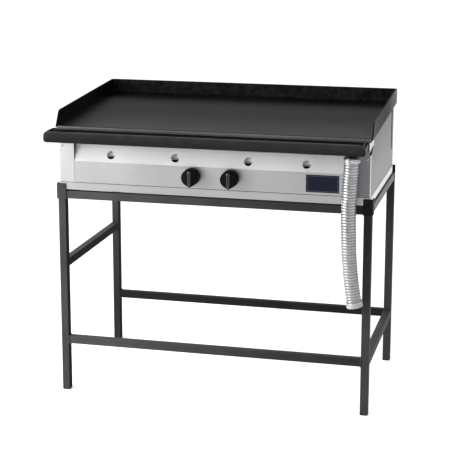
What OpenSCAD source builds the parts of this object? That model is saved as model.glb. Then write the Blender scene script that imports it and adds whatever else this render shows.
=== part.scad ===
// Free-standing gas griddle: a sloped steel plate with guards on a stainless burner box,
// carried by a welded stand of square tube, with a drip gutter and a ribbed drain hose.
// X runs to the right, +Y to the back and Z up from the floor. Millimetres.

/* [Stand] */
// Outer width of the stand over its legs, and of the griddle over its side guards
stand_w = 1000; // [700:10:1300]
// Outer depth of the stand over its legs
stand_d = 558; // [480:2:700]
// Side of the square tube
tube = 25; // [20:1:30]
// Wall of the square tube
tube_wall = 1.5; // [1:0.1:2]
// Height of the top rails' upper face
rail_top = 664; // [560:2:800]
// Height of the underside of the low rails
low_rail = 158; // [80:2:250]
// Height of the underside of the left side bar
side_bar = 412; // [300:2:480]
// Thickness of the foot caps under the legs
cap_t = 4; // [3:0.5:8]
// Thickness of the corner stops
stop_t = 3; // [2:0.5:4]
// Width of a corner stop's flange
stop_w = 30; // [26:1:36]
// How far the front corner stops rise above the rails
stop_rise = 24; // [16:1:28]
// How far the corner stops reach below the rails' upper face
stop_drop = 26; // [20:1:40]

/* [Body] */
// How far each side of the burner box lies inside the stand's outer width
box_inset = 5; // [2:0.5:10]
// Room between the back of the box and the rear stops
rear_room = 37.5; // [20:0.5:60]
// Play between the box and the front corner stops
stop_play = 0.5; // [0.3:0.1:2]
// Thickness of the sheet metal
sheet = 1.2; // [0.8:0.1:1.5]
// Thickness of the pads between the rails and the box
pad_h = 5.5; // [4:0.5:10]
// Diameter of a pad
pad_d = 14; // [10:0.5:14]
// Height of the base strip
strip_h = 22.5; // [18:0.5:30]
// Width of the base strip's inward flange
strip_flange = 36; // [30:1:44]
// Open joint between the base strip and the panels
joint = 1.6; // [1:0.1:3]
// Height of the sides at the front, above the base strip
side_h = 177; // [152:1:202]
// How far the front posts end below the tops of the sides
post_drop = 30; // [26:1:50]
// Width of a front post
post_w = 51; // [42:1:56]
// Depth of a front post's inner return
post_return = 32; // [28:1:40]
// Radius of the box's vertical corners
corner_r = 4; // [2:0.5:5]
// Height of the upright part of the front panel
panel_h = 70; // [66:1:76]
// Height of the leaning part of the front panel
band_h = 80; // [70:1:84]
// How far the leaning part goes back
band_back = 27; // [15:1:30]
// Diameter of the lighting holes
hole_d = 26; // [18:1:30]
// Height of the lighting holes above the fold, along the leaning part
hole_up = 23; // [20:1:30]
// Gap between the front panel and the baffle behind it
baffle_gap = 11; // [9:1:16]
// Height of the vent slots in the rear panel
vent_h = 36; // [20:1:50]

/* [Griddle top] */
// How far the griddle reaches past the back of the box
plate_back = 39; // [20:1:60]
// Thickness of the cooking plate
plate_t = 5; // [4:0.5:8]
// Slope of the plate down to the front, in degrees
tilt = 2.9; // [1.5:0.1:3.2]
// How far the plate stands ahead of the box
plate_proud = 12; // [10:0.5:14]
// Height of the folded front lip, plate included
lip_h = 12; // [9:0.5:14]
// Thickness of the guards
guard_t = 4; // [3:0.5:5]
// Height of the guards, plate included
guard_h = 49; // [40:1:70]
// How far the side guards' front edge leans back
guard_lean = 31; // [15:1:45]
// Side of the angle bars under the plate
stiff_w = 25; // [20:1:30]

/* [Drip gutter] */
// How far the gutter reaches past the stand on the left
gutter_left = 20; // [0:1:24]
// How far the gutter ends short of the stand on the right
gutter_right = 14; // [10:1:24]
// Depth of the gutter, front to back
gutter_d = 66; // [56:1:72]
// Height of the gutter's front wall
gutter_h = 36; // [30:1:38]
// Height of the gutter's rear wall
gutter_back_h = 37; // [30:1:38]
// Thickness of the gutter's sheet
gutter_t = 1.5; // [1:0.1:2]
// How far the gutter's floor lies below the tops of the posts
gutter_drop = 11; // [8:0.5:15]
// Radius of the gutter's lower bends and of its ends
gutter_r = 10; // [8:1:12]

/* [Drain] */
// Distance of the drain from the gutter's right end
drain_in = 46; // [36:1:120]
// Outer diameter of the spout
spout_d = 36; // [30:1:37]
// How far the spout reaches below the gutter
spout_l = 30; // [20:1:40]
// Gap between the gutter's floor and the hose's upper end
hose_gap = 9; // [6:1:12]
// Outer diameter of the drain hose over its ribs
hose_d = 46; // [45:0.5:48]
// Height of the hose's ribs
rib_h = 1.6; // [1:0.1:2]
// Number of ribs along the hose
ribs = 52; // [30:1:80]
// Height of the clamp band on the hose
clamp_h = 11; // [8:1:14]
// Height of the cuff at the hose's free end
cuff_h = 18; // [14:1:24]

/* [Gas] */
// Place of the left knob, measured from the middle
knob_left_x = -60; // [-75:1:-45]
// Place of the right knob, measured from the middle
knob_right_x = 63; // [50:1:80]
// Height of the knobs above the base strip
knob_up = 40; // [38:1:44]
// Radius of a knob
knob_r = 27; // [22:0.5:28]
// Distance from a knob's axis to its pointer's tip
knob_tip = 31; // [29:0.5:33]
// Depth of a knob
knob_l = 32; // [26:1:36]
// How far a knob can be pushed in
push = 3; // [2:0.5:3.5]
// Radius of a valve's spindle
spindle_r = 4; // [3:0.5:5]
// Outer diameter of the manifold pipe
manifold_d = 17; // [14:0.5:21]
// Height of the manifold's axis above the box's lower edge
manifold_up = 34; // [32:1:36]
// Outer diameter of the burner tubes
burner_d = 25.4; // [20:0.2:27]
// Wall of the burner tubes
burner_wall = 1.5; // [1:0.1:2]
// Height of the burner tubes' axis above the base strip
burner_up = 88; // [84:1:94]
// Pitch of the burner's saw-cut ports
port_pitch = 14; // [10:1:20]
// Width of a saw-cut port
port_w = 1.4; // [1:0.1:2]
// Outer diameter of the gas inlet's tail
tail_d = 10; // [8:0.5:12]
// Length of the plain tail outside the box
tail_l = 25; // [20:1:35]

/* [Hidden] */

// Small constants that many pieces share
eps = 0.01;
run_gap = 0.05;
seat_gap = 0.3;
screw_gap = 0.25;
side_joint = 0.6;
spare = 60;
arc_n = 6;
$fn = 48;

// Stand levels and faces
half_w = stand_w / 2;
leg_x = half_w - tube;
leg_base = cap_t;
stop_x = half_w + stop_t;

// Box levels and faces
body_w = stand_w - 2 * box_inset;
body_d = stand_d - stop_play - rear_room;
body_z = rail_top + pad_h;
strip_top = body_z + strip_h;
panel_z = strip_top + joint;
front_y = stop_play;
rear_y = front_y + body_d;
half_b = body_w / 2;
post_h = side_h - post_drop;
post_top = strip_top + post_h;
fold_z = strip_top + panel_h;
band_top = fold_z + band_h;
band_angle = atan2(band_back, band_h);
post_in = half_b - post_w;
panel_half = post_in - side_joint;
tongue_up = 12;
tongue_down = 8;
knob_x = [knob_left_x, knob_right_x];
hole_x = body_w * [-0.3277, -0.1169, 0.1172, 0.3004];
knob_z = strip_top + knob_up;

// Griddle top: its lower front edge and its slope
plate_w = stand_w;
plate_d = body_d + plate_proud + plate_back;
plate_y = front_y - plate_proud;
plate_z = strip_top + side_h;
plate_in = plate_w - 2 * guard_t;

// Gutter: its rear face stands just ahead of the posts
gutter_y1 = front_y - seat_gap;
gutter_y0 = gutter_y1 - gutter_d;
gutter_z = post_top - gutter_drop;
gutter_x0 = -half_w - gutter_left;
gutter_x1 = half_w - gutter_right;
gutter_l = gutter_x1 - gutter_x0;
lip_roll = 4;

// Drain
drain_x = gutter_x1 - drain_in;
drain_y = (gutter_y0 + gutter_y1) / 2;
hose_top = gutter_z - hose_gap;
hose_r = hose_d / 2;
hose_wall = 1;
spout_wall = 1.5;
bore_r = hose_r - rib_h - hose_wall;
sides = 8;
// The route of the hose below its upper end: across, back and down from the drain
route = [[0, 0, 0], [0, 0, -21], [-1, 0, -46], [-3, 0, -76], [-4, 0, -106], [-5, 0, -136],
    [-6, 0, -166], [-6, 0, -196], [-5, 0, -226], [-4, 0, -256], [-3, 0, -286], [-1, 0, -316],
    [2, 0, -346], [5, 0, -376], [9, 0, -406], [11, 0, -416], [18, 0, -456]];

// Gas parts
manifold_y = 46;
manifold_z = body_z + manifold_up;
collar_y = front_y + 4.5;
collar_t = 3;
neck_y = collar_y + collar_t + push + 0.5;
neck_l = 9;
valve_l = 34;
valve_r = 12;
saddle_z = knob_z - valve_r - 1;
saddle_w = 16;
bore_end = neck_y + neck_l + 16;
spindle_end = bore_end - push - 1;
shoulder_r = tail_d / 2 + 1;
knob_gap = push + 1.5;
knob_back = front_y - knob_gap;
knob_face = knob_back - knob_l;
burner_z = strip_top + burner_up;
burner_y0 = 62;
cross_y = rear_y - 96;
cross_d = burner_d + 2.6;
riser_d = burner_d - 3.4;
mix_y = neck_y + neck_l + valve_l + 12;
support_w = 16;
support_t = 3;
support_z = burner_z - burner_d / 2 - support_w;
support_in = [46, 34];
support_y = [burner_y0 + support_in[0], cross_y - support_in[1]];

// The stand's middle is shifted so that the origin lies under the middle of the whole outline
mid_x = (gutter_x0 + stop_x) / 2;
mid_y = (gutter_y0 + stand_d + stop_t) / 2;

// Colours of the finishes
c_stand = "#2b2b2d";
c_steel = "#c9cacc";
c_plate = "#1d1d1e";
c_black = "#111112";
c_alu = "#d4d6d8";
c_brass = "#b9964f";
c_badge = "#16203a";
c_rubber = "#1a1a1a";

// Sheet-metal helpers: a path of outer-face points is thickened to its left
function unit(v) = v / norm(v);
function left_of(v) = [-v.y, v.x];
function offset_points(p, t) = [for (i = [0 : len(p) - 1])
    let (a = unit(i > 0 ? p[i] - p[i - 1] : p[1] - p[0]),
         b = unit(i < len(p) - 1 ? p[i + 1] - p[i] : p[i] - p[i - 1]),
         m = unit(left_of(a) + left_of(b)))
    p[i] + m * t / (m * left_of(a))];
function reversed(p) = [for (i = [len(p) - 1 : -1 : 0]) p[i]];
function arc(c, r, a0, a1, n = arc_n) =
    [for (i = [0 : n]) c + r * [cos(a0 + (a1 - a0) * i / n), sin(a0 + (a1 - a0) * i / n)]];

module bent(p, t) polygon(concat(p, reversed(offset_points(p, t))));

// Extrusions of an outline: along X from a (Y, Z) outline, along Y from an (X, Z) outline
module along_x(x0, l) translate([x0, 0, 0]) rotate([90, 0, 90]) linear_extrude(l) children();
module along_y(y0, l) translate([0, y0 + l, 0]) rotate([90, 0, 0]) linear_extrude(l) children();
module rod_x(x0, l, r, y, z) translate([x0, y, z]) rotate([0, 90, 0]) cylinder(r = r, h = l);
module rod_y(y0, l, r, x, z) translate([x, y0, z]) rotate([-90, 0, 0]) cylinder(r = r, h = l);
module origin() translate([-mid_x, -mid_y, 0]) children();
module mirrored(side) mirror([side < 0 ? 1 : 0, 0, 0]) children();
module on_plate() translate([0, plate_y, plate_z]) rotate([tilt, 0, 0]) children();

// Square tube of length l, standing on Z
module tube_z(l) difference() {
    cube([tube, tube, l]);
    translate([tube_wall, tube_wall, -eps])
        cube([tube - 2 * tube_wall, tube - 2 * tube_wall, l + 2 * eps]);
}
module tube_x(l) translate([0, 0, tube]) rotate([0, 90, 0]) tube_z(l);
module tube_y(l) translate([0, 0, tube]) rotate([-90, 0, 0]) tube_z(l);

module leg(side, y) color(c_stand) origin()
    translate([side > 0 ? leg_x : -half_w, y, leg_base]) tube_z(rail_top - leg_base);
module leg_front_left() leg(-1, 0);
module leg_front_right() leg(1, 0);
module leg_rear_left() leg(-1, stand_d - tube);
module leg_rear_right() leg(1, stand_d - tube);

// Plastic caps: a plug inside the tube and a rounded sole under it
module foot_cap() {
    plug = tube - 2 * tube_wall - 2 * run_gap;
    translate([-plug / 2, -plug / 2, cap_t - eps]) cube([plug, plug, 0.64 * tube]);
    translate([-tube / 2, -tube / 2, cap_t / 2]) cube([tube, tube, cap_t / 2]);
    linear_extrude(cap_t) intersection() {
        square(tube, center = true);
        circle(r = tube * 0.62);
    }
}
module foot_caps() color(c_black) origin()
    for (x = [-1, 1], y = [tube / 2, stand_d - tube / 2])
        translate([x * (half_w - tube / 2), y, 0]) foot_cap();

rail_l = stand_w - 2 * tube;
side_l = stand_d - 2 * tube;
module top_rail_front() color(c_stand) origin() translate([-rail_l / 2, 0, rail_top - tube]) tube_x(rail_l);
module top_rail_rear() color(c_stand) origin()
    translate([-rail_l / 2, stand_d - tube, rail_top - tube]) tube_x(rail_l);
module side_rail(side, z) translate([side > 0 ? leg_x : -half_w, tube, z]) tube_y(side_l);
module top_rail_left() color(c_stand) origin() side_rail(-1, rail_top - tube);
module top_rail_right() color(c_stand) origin() side_rail(1, rail_top - tube);
module bottom_rail_front() color(c_stand) origin() translate([-rail_l / 2, 0, low_rail]) tube_x(rail_l);
module bottom_rail_rear() color(c_stand) origin()
    translate([-rail_l / 2, stand_d - tube, low_rail]) tube_x(rail_l);
module low_side_bar_right() color(c_stand) origin() side_rail(1, low_rail);
module mid_side_bar_left() color(c_stand) origin() side_rail(-1, side_bar);

// Angle stops round the front corners, with a hole for the screw into the base strip
stop_screw_r = 2.5;
panel_screw_r = 2;
stop_screw_z = body_z + strip_h * 0.42;
stop_screw_x = half_b - 14;
module corner_stop(side) color(c_stand) origin() mirrored(side) difference() {
    translate([stop_x - stop_w, -stop_t, rail_top - stop_drop]) linear_extrude(stop_drop + stop_rise)
        difference() {
            square([stop_w, stop_w]);
            translate([-eps, stop_t]) square([stop_w - stop_t + eps, stop_w]);
        }
    rod_y(-stop_t - 1, stop_t + 2, stop_screw_r + screw_gap, stop_screw_x, stop_screw_z);
}
module corner_stop_front_left() corner_stop(-1);
module corner_stop_front_right() corner_stop(1);

// Flat plates behind the rear legs that keep the box from sliding back
rear_rise = 23;
module rear_stop(side) color(c_stand) origin() mirrored(side)
    translate([half_w - stop_w, stand_d, rail_top - stop_drop])
        cube([stop_w, stop_t, stop_drop + rear_rise]);
module rear_stop_left() rear_stop(-1);
module rear_stop_right() rear_stop(1);

// Pan-head screw along Y with its head at y0 and its shank running back
module screw_y(x, y0, z, r, shank, head = 2.2) {
    rod_y(y0 - head, head, r * 1.9, x, z);
    rod_y(y0 - eps, shank, r, x, z);
}
module stop_screws() color(c_stand) origin() for (side = [-1, 1])
    screw_y(side * stop_screw_x, -stop_t, stop_screw_z, stop_screw_r, stop_t + stop_play + 2 * sheet + 6);

module body_pads() color(c_rubber) origin()
    for (x = [-1, 1], y = [tube + pad_d, rear_y - strip_flange - pad_d])
        translate([x * (leg_x + half_b) / 2, y, rail_top]) cylinder(d = pad_d, h = pad_h);

// Outline of the box with rounded corners, drawn in by a given inset
module box_outline(inset) {
    r = max(corner_r - inset, 0.8);
    w = half_b - inset;
    y0 = front_y + inset;
    y1 = rear_y - inset;
    translate([-w + r, y0]) square([2 * (w - r), y1 - y0]);
    translate([-w, y0 + r]) square([2 * w, y1 - y0 - 2 * r]);
    for (x = [-w + r, w - r], y = [y0 + r, y1 - r]) translate([x, y]) circle(r = r);
}
module box_ring(z, h, inset, width) translate([0, 0, z]) linear_extrude(h) difference() {
    box_outline(inset);
    box_outline(inset + width);
}

// Base strip: outer skirt, inward flange and a tongue behind the panels, mitred at the corners
tongue_play = 0.1;
module base_ring() {
    box_ring(body_z, strip_h, 0, sheet);
    box_ring(body_z, sheet, 0, strip_flange);
    box_ring(strip_top - tongue_down, tongue_down, sheet - eps, sheet + tongue_play + eps);
    difference() {
        box_ring(strip_top - eps, tongue_up + eps, sheet + tongue_play, sheet);
        for (side = [-1, 1]) mirrored(side)
            translate([post_in - side_joint, front_y - 1, strip_top])
                cube([sheet + 2 * side_joint, 4 * sheet, tongue_up + 1]);
    }
}
module mitred(corners) intersection() {
    base_ring();
    translate([0, 0, body_z - 1]) linear_extrude(strip_h + tongue_up + 2) polygon(corners);
}
reach = strip_flange + 4;
module strip_across(y, way) mitred([[-half_b, y], [half_b, y],
    [half_b - reach, y + way * reach], [-half_b + reach, y + way * reach]]);
module strip_side(side) mitred([[side * half_b, front_y], [side * half_b, rear_y],
    [side * (half_b - reach), rear_y - reach], [side * (half_b - reach), front_y + reach]]);
module base_strip_front() color(c_steel) origin() difference() {
    strip_across(front_y, 1);
    for (x = [-1, 1])
        rod_y(front_y - 1, 2 * sheet + 2, stop_screw_r + screw_gap, x * stop_screw_x, stop_screw_z);
}
module base_strip_rear() color(c_steel) origin() difference() {
    strip_across(rear_y, -1);
    inlet_hole();
}
module inlet_hole() rod_y(rear_y - 3 * sheet, 4 * sheet, shoulder_r + screw_gap, 0, manifold_z);
module base_strip_left() color(c_steel) origin() side_screw_holes(-1) strip_side(-1);
module base_strip_right() color(c_steel) origin() side_screw_holes(1) strip_side(1);

// Low screws that join each side panel to the base strip's tongue
side_screw_y = [70, rear_y - 70];
side_screw_z = strip_top + 6.5;
module side_screw_holes(side) difference() {
    children();
    mirrored(side) for (y = side_screw_y)
        rod_x(half_b - 3 * sheet, 4 * sheet, panel_screw_r + screw_gap, y, side_screw_z);
}

// Everything above the sloped underside of the plate, less the play between it and the sheets
sheet_clear = 0.1;
module above_plate() on_plate()
    translate([-plate_w, -spare, -sheet_clear]) cube([2 * plate_w, plate_d + 2 * spare, 2 * side_h]);

// Side panel and front post in one bent sheet: inner return, post face, round corner, side, rear return.
// A tab at its upper front corner is cut free along a slope and bent inward.
rear_return = 16;
slot_y = rear_y - 57;
slot_w = 20;
slot_z = strip_top + 64;
tab_l = 48;
tab_low = post_h - 18;
tab_bend = 8;
function side_path() = concat([[post_in, front_y + post_return], [post_in, front_y]],
    arc([half_b - corner_r, front_y + corner_r], corner_r, -90, 0),
    arc([half_b - corner_r, rear_y - corner_r], corner_r, 0, 90),
    [[half_b - rear_return, rear_y]]);
post_screw_in = 12;
post_screw_z = strip_top + post_h - 30;
tab_rise = 25;
tab_in = half_b - tab_l * sin(tab_bend) - sheet;
tab_end = [half_b - (tab_l - 1) * sin(tab_bend), front_y + tab_l - (tab_l - 1) * cos(tab_bend)];
module tab_cut(y1) along_x(tab_in, 3 * corner_r) polygon([[front_y - 1, strip_top + tab_low],
    [y1, strip_top + tab_low + tab_rise * (y1 - front_y) / tab_l], [y1, plate_z + spare],
    [front_y - 1, plate_z + spare]]);
module side_sheet() side_screw_holes(1) difference() {
    union() {
        difference() {
            translate([0, 0, panel_z]) linear_extrude(side_h + spare) bent(side_path(), sheet);
            tab_cut(front_y + tab_l);
        }
        intersection() {
            translate([0, 0, panel_z]) linear_extrude(side_h + spare) bent([tab_end,
                [half_b, front_y + tab_l], [half_b, front_y + tab_l + 3]], sheet);
            tab_cut(front_y + tab_l + 2);
        }
    }
    above_plate();
    translate([post_in - 1, front_y - 1, post_top]) cube([tab_in - post_in + 1, post_return + 2, side_h]);
    translate([half_b - sheet - 1, slot_y, slot_z]) cube([sheet + 2, slot_w, side_h]);
    rod_y(front_y - 1, sheet + 2, panel_screw_r + screw_gap, half_b - post_screw_in, post_screw_z);
}
module side_panel_left() color(c_steel) origin() mirrored(-1) side_sheet();
module side_panel_right() color(c_steel) origin() side_sheet();

// Front panel: upright part, leaning part and a flange at the top, with lighting and spindle holes
spindle_hole_r = spindle_r + 4;
function panel_path() = [[front_y, panel_z], [front_y, fold_z],
    [front_y + band_back, band_top], [front_y + band_back + 14, band_top]];
module on_band() translate([0, front_y, fold_z]) rotate([-band_angle, 0, 0]) children();
module lighting_holes(r) on_band() for (x = hole_x)
    translate([x, -4, hole_up]) rotate([-90, 0, 0]) cylinder(r = r, h = 16);
module front_panel() color(c_steel) origin() difference() {
    along_x(-panel_half, 2 * panel_half) bent(reversed(panel_path()), sheet);
    lighting_holes(hole_d / 2);
    for (x = knob_x) rod_y(front_y - 1, sheet + 2, spindle_hole_r, x, knob_z);
}

// Baffle behind the leaning part: it hangs from the top flange and ends above the holes' lower edge
baffle_drop = 58;
module front_baffle() color(c_steel) origin() along_x(-panel_half + 4, 2 * panel_half - 8) {
    back = front_y + band_back + baffle_gap;
    low = back - baffle_drop * tan(band_angle);
    bent(reversed([[low + 8, band_top - sheet - baffle_drop - 8], [low, band_top - sheet - baffle_drop],
        [back, band_top - sheet]]), sheet);
}

// Rear panel between the sides' rear returns, with a row of exhaust slots
vents = 14;
vent_pitch = 60;
vent_w = 8;
vent_z = strip_top + side_h - vent_h - 10;
rear_half = half_b - rear_return - side_joint;
module rear_panel() color(c_steel) origin() difference() {
    translate([-rear_half, rear_y - sheet, panel_z]) cube([2 * rear_half, sheet, side_h + spare]);
    above_plate();
    for (i = [0 : vents - 1])
        translate([(i - (vents - 1) / 2) * vent_pitch - vent_w / 2, rear_y - 10, vent_z])
            cube([vent_w, 20, vent_h]);
    inlet_hole();
}

// Screws: one at each post's top, two low on each side
module panel_screws() color(c_steel) origin() for (side = [-1, 1]) {
    screw_y(side * (half_b - post_screw_in), front_y, post_screw_z, panel_screw_r, 6, 1.6);
    for (y = side_screw_y) mirrored(side) {
        rod_x(half_b, 1.6, 3.8, y, side_screw_z);
        rod_x(half_b - 6, 6 + eps, panel_screw_r, y, side_screw_z);
    }
}

// Plain badge on the front panel
badge_w = 102;
badge_h = 54;
badge_x = 0.3514 * body_w;
badge_up = 9;
module badge_plate() color(c_badge) origin()
    translate([badge_x - badge_w / 2, front_y - 0.8, strip_top + badge_up]) cube([badge_w, 0.8, badge_h]);

// Cooking plate with its folded front lip, as a (depth, height) outline
module plate_outline() {
    fold_r = 0.7 * lip_h;
    polygon(concat([[plate_d - guard_t, 0], [plate_d - guard_t, plate_t]],
        arc([fold_r, plate_t - fold_r], fold_r, 90, 180),
        [[0, plate_t - lip_h], [plate_t, plate_t - lip_h], [plate_t, 0]]));
}
module griddle_plate() color(c_plate) origin() on_plate() along_x(-plate_in / 2, plate_in) plate_outline();
module rear_guard() color(c_plate) origin() on_plate()
    translate([-plate_in / 2, plate_d - guard_t, 0]) cube([plate_in, guard_t, guard_h]);
guard_cut = 9;
module side_guard(side) color(c_plate) origin() mirrored(side) on_plate()
    along_x(plate_w / 2 - guard_t, guard_t) polygon([[0, 0], [plate_d, 0],
        [plate_d, guard_h - 4], [plate_d - 4, guard_h], [guard_lean + guard_cut, guard_h],
        [guard_lean - 2, guard_h - guard_cut * 0.6]]);
module side_guard_left() side_guard(-1);
module side_guard_right() side_guard(1);

// Angle bars under the plate, one inside each side panel
module plate_stiffeners() color(c_plate) origin() for (side = [-1, 1]) mirrored(side) on_plate()
    translate([half_b - sheet - seat_gap - stiff_w, 60, -stiff_w - 0.02]) difference() {
        cube([stiff_w, plate_d - 130, stiff_w]);
        translate([-eps, -1, -eps]) cube([stiff_w - 3, plate_d - 128, stiff_w - 3]);
    }

// Gutter outline: rear wall, floor and front wall with a rolled lip
function gutter_path() = concat([[gutter_y1, gutter_z + gutter_back_h]],
    [[gutter_y1, gutter_z + gutter_r]],
    arc([gutter_y1 - gutter_r, gutter_z + gutter_r], gutter_r, 0, -90),
    arc([gutter_y0 + gutter_r, gutter_z + gutter_r], gutter_r, -90, -180),
    arc([gutter_y0 + lip_roll, gutter_z + gutter_h - lip_roll], lip_roll, 180, 60, 8));
module gutter_trough() color(c_black) origin() difference() {
    along_x(gutter_x0 + gutter_r, gutter_l - 2 * gutter_r) bent(reversed(gutter_path()), gutter_t);
    translate([drain_x, drain_y, gutter_z - 1]) cylinder(d = spout_d - 2 * spout_wall, h = 6);
}
// An end's outside, rounded below and at its upper corner, and its inside, open at the top
module end_outside() along_y(gutter_y0 - 5, gutter_d + 10) {
    translate([gutter_r, gutter_z + gutter_r]) circle(r = gutter_r);
    translate([0, gutter_z + gutter_r]) square([gutter_r + eps, gutter_back_h - 2 * gutter_r]);
    translate([gutter_r, gutter_z + gutter_back_h - gutter_r]) circle(r = gutter_r);
    translate([gutter_r - eps, gutter_z]) square([2 * eps, gutter_back_h]);
}
module end_inside() along_y(gutter_y0 - 5, gutter_d + 10) {
    translate([gutter_r, gutter_z + gutter_r]) circle(r = gutter_r - gutter_t);
    translate([gutter_t, gutter_z + gutter_r]) square([gutter_r, gutter_back_h]);
}
module gutter_end() difference() {
    intersection() {
        along_x(0, gutter_r) polygon(gutter_path());
        end_outside();
    }
    intersection() {
        along_x(gutter_t, gutter_r) polygon(offset_points(gutter_path(), -gutter_t));
        end_inside();
    }
}
module gutter_end_left() color(c_black) origin() translate([gutter_x0, 0, 0]) gutter_end();
module gutter_end_right() color(c_black) origin() translate([gutter_x1, 0, 0]) mirrored(-1) gutter_end();

// Hooks on the gutter's rear wall that drop behind the front posts
hook_w = 26;
hook_in = 33;
hook_drop = 12;
hook_y = front_y + sheet + seat_gap;
module gutter_hooks() color(c_black) origin() for (x = [-1, 1])
    along_x(x * (half_b - hook_in) - hook_w / 2, hook_w)
        bent([[gutter_y1 + sheet, gutter_z + gutter_back_h - 2], [gutter_y1 + sheet, post_top + sheet],
            [hook_y + sheet, post_top + sheet], [hook_y + sheet, post_top - hook_drop]], -sheet);

// Drain spout, welded under the hole in the gutter's floor
module drain_spout() color(c_black) origin() translate([drain_x, drain_y, gutter_z - spout_l]) difference() {
    cylinder(d = spout_d, h = spout_l);
    translate([0, 0, -1]) cylinder(d = spout_d - 2 * spout_wall, h = spout_l + 2);
}

// Worm-drive band round the hose's upper end
band_r = hose_r + 0.3;
module hose_clamp_band() color(c_alu) origin() translate([drain_x, drain_y, hose_top - 3 - clamp_h])
    difference() {
        union() {
            cylinder(r = band_r + 1, h = clamp_h);
            rotate([0, 0, -35]) translate([band_r - 1, -7, 1]) cube([6, 14, clamp_h - 2]);
        }
        translate([0, 0, -1]) cylinder(r = band_r, h = clamp_h + 2);
        clamp_axis() cylinder(r = 2.6 + run_gap, h = 40, center = true);
    }
module clamp_axis() rotate([0, 0, -35]) translate([band_r + 5, 0, clamp_h / 2]) rotate([90, 0, 0]) children();
module hose_clamp_screw() color(c_steel) origin() translate([drain_x, drain_y, hose_top - 3 - clamp_h])
    clamp_axis() {
        translate([0, 0, -7]) cylinder(r = 2.6, h = 16);
        translate([0, 0, 9]) cylinder(r = 4.2, h = 4, $fn = 6);
    }

// Drain hose: one ribbed tube swept along its route, with its bore
steps = [for (i = [1 : len(route) - 1]) norm(route[i] - route[i - 1])];
function run_to(i) = i == 0 ? 0 : run_to(i - 1) + steps[i - 1];
hose_l = run_to(len(route) - 1);
x_at = [for (i = [0 : len(route) - 1]) [run_to(i), route[i].x]];
z_at = [for (i = [0 : len(route) - 1]) [run_to(i), route[i].z]];
function at(s) = [lookup(s, x_at), 0, lookup(s, z_at)];
function heading(s) = unit(at(min(s + 12, hose_l)) - at(max(s - 12, 0)));
function ring(s, r) = let (t = heading(s), n = cross([0, 1, 0], t))
    [for (k = [0 : sides - 1]) at(s) + r * (cos(360 * (k + 0.5) / sides) * n
        + sin(360 * (k + 0.5) / sides) * [0, 1, 0])];
rings = 2 * ribs;
module drain_hose() color(c_alu) origin() translate([drain_x, drain_y, hose_top]) {
    outer = [for (i = [0 : rings]) each ring(i * hose_l / rings, i % 2 == 0 ? hose_r - rib_h : hose_r)];
    inner = [for (i = [0 : rings]) each ring(i * hose_l / rings, bore_r)];
    m = len(outer);
    walls = [for (i = [0 : rings - 1], k = [0 : sides - 1]) let (a = i * sides + k,
        b = i * sides + (k + 1) % sides, c = a + sides, d = b + sides)
        each [[a, b, c], [b, d, c], [m + a, m + c, m + b], [m + b, m + c, m + d]]];
    ends = [for (k = [0 : sides - 1]) let (a = k, b = (k + 1) % sides, c = rings * sides + k,
        d = rings * sides + (k + 1) % sides)
        each [[a, m + a, b], [b, m + a, m + b], [c, d, m + c], [d, m + d, m + c]]];
    polyhedron(points = concat(outer, inner), faces = concat(walls, ends));
}

// Cuff on the hose's free end, square to the hose
last_step = unit(route[len(route) - 1] - route[len(route) - 2]);
cuff_turn = atan2(last_step.x, -last_step.z);
module hose_end_cuff() color(c_alu) origin()
    translate(route[len(route) - 1] + [drain_x, drain_y, hose_top]) rotate([0, -cuff_turn, 0])
        rotate_extrude() {
            translate([hose_r + 0.3, -2]) square([1.5, cuff_h]);
            translate([bore_r, -2]) square([hose_r + 0.8 - bore_r, 1.6]);
        }

// Manifold pipe with a closed end each side, a boss under each valve and a pipe to the back
manifold_l = knob_right_x - knob_left_x + 90;
manifold_x0 = (knob_left_x + knob_right_x - manifold_l) / 2;
module gas_manifold() color(c_brass) origin() difference() {
    union() {
        rod_x(manifold_x0, manifold_l, manifold_d / 2, manifold_y, manifold_z);
        rod_y(manifold_y, rear_y - manifold_y - 12, manifold_d / 2 - 1.5, 0, manifold_z);
        for (x = knob_x) translate([x, manifold_y, manifold_z]) cylinder(r = 6, h = saddle_z - manifold_z);
    }
    rod_y(manifold_y, rear_y - manifold_y, manifold_d / 2 - 4, 0, manifold_z);
}

// Brackets that carry the manifold on the front strip's flange
bracket_x = [knob_left_x - 26, knob_right_x + 26];
bracket_w = 14;
bracket_t = 2;
bracket_y = front_y + 2 * sheet + 1;
module manifold_brackets() color(c_steel) origin() for (x = bracket_x) difference() {
    translate([x - bracket_t / 2, bracket_y, body_z + sheet]) {
        cube([bracket_w, strip_flange - 6, bracket_t]);
        cube([bracket_t, manifold_y + bracket_w - bracket_y, manifold_up + 12]);
    }
    rod_x(x - bracket_t, 2 * bracket_t, manifold_d / 2 + run_gap, manifold_y, manifold_z);
}

// Gas inlet: a plain tail through the rear panel, with a shoulder in the hole and a hexagon inside
module gas_inlet_tail() color(c_brass) origin() difference() {
    union() {
        translate([0, rear_y - 12, manifold_z]) rotate([-90, 0, 0]) cylinder(r = 10, h = 8, $fn = 6);
        rod_y(rear_y - 4 - eps, 6, shoulder_r, 0, manifold_z);
        rod_y(rear_y + 2 - 2 * eps, tail_l + 2 * eps, tail_d / 2, 0, manifold_z);
    }
    rod_y(rear_y - 13, tail_l + 20, tail_d / 2 - 2, 0, manifold_z);
}

// Gas valve: front neck, round body and outlet boss, bored for the spindle
module valve_body(x) color(c_brass) origin() difference() {
    union() {
        rod_y(neck_y, neck_l, 8, x, knob_z);
        rod_y(neck_y + neck_l - eps, valve_l, valve_r, x, knob_z);
        translate([x - saddle_w / 2, manifold_y - saddle_w / 2, saddle_z]) cube([saddle_w, saddle_w, 8]);
    }
    rod_y(neck_y - 1, bore_end - neck_y + 1, spindle_r + run_gap, x, knob_z);
}
module valve_body_left() valve_body(knob_x[0]);
module valve_body_right() valve_body(knob_x[1]);

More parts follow.
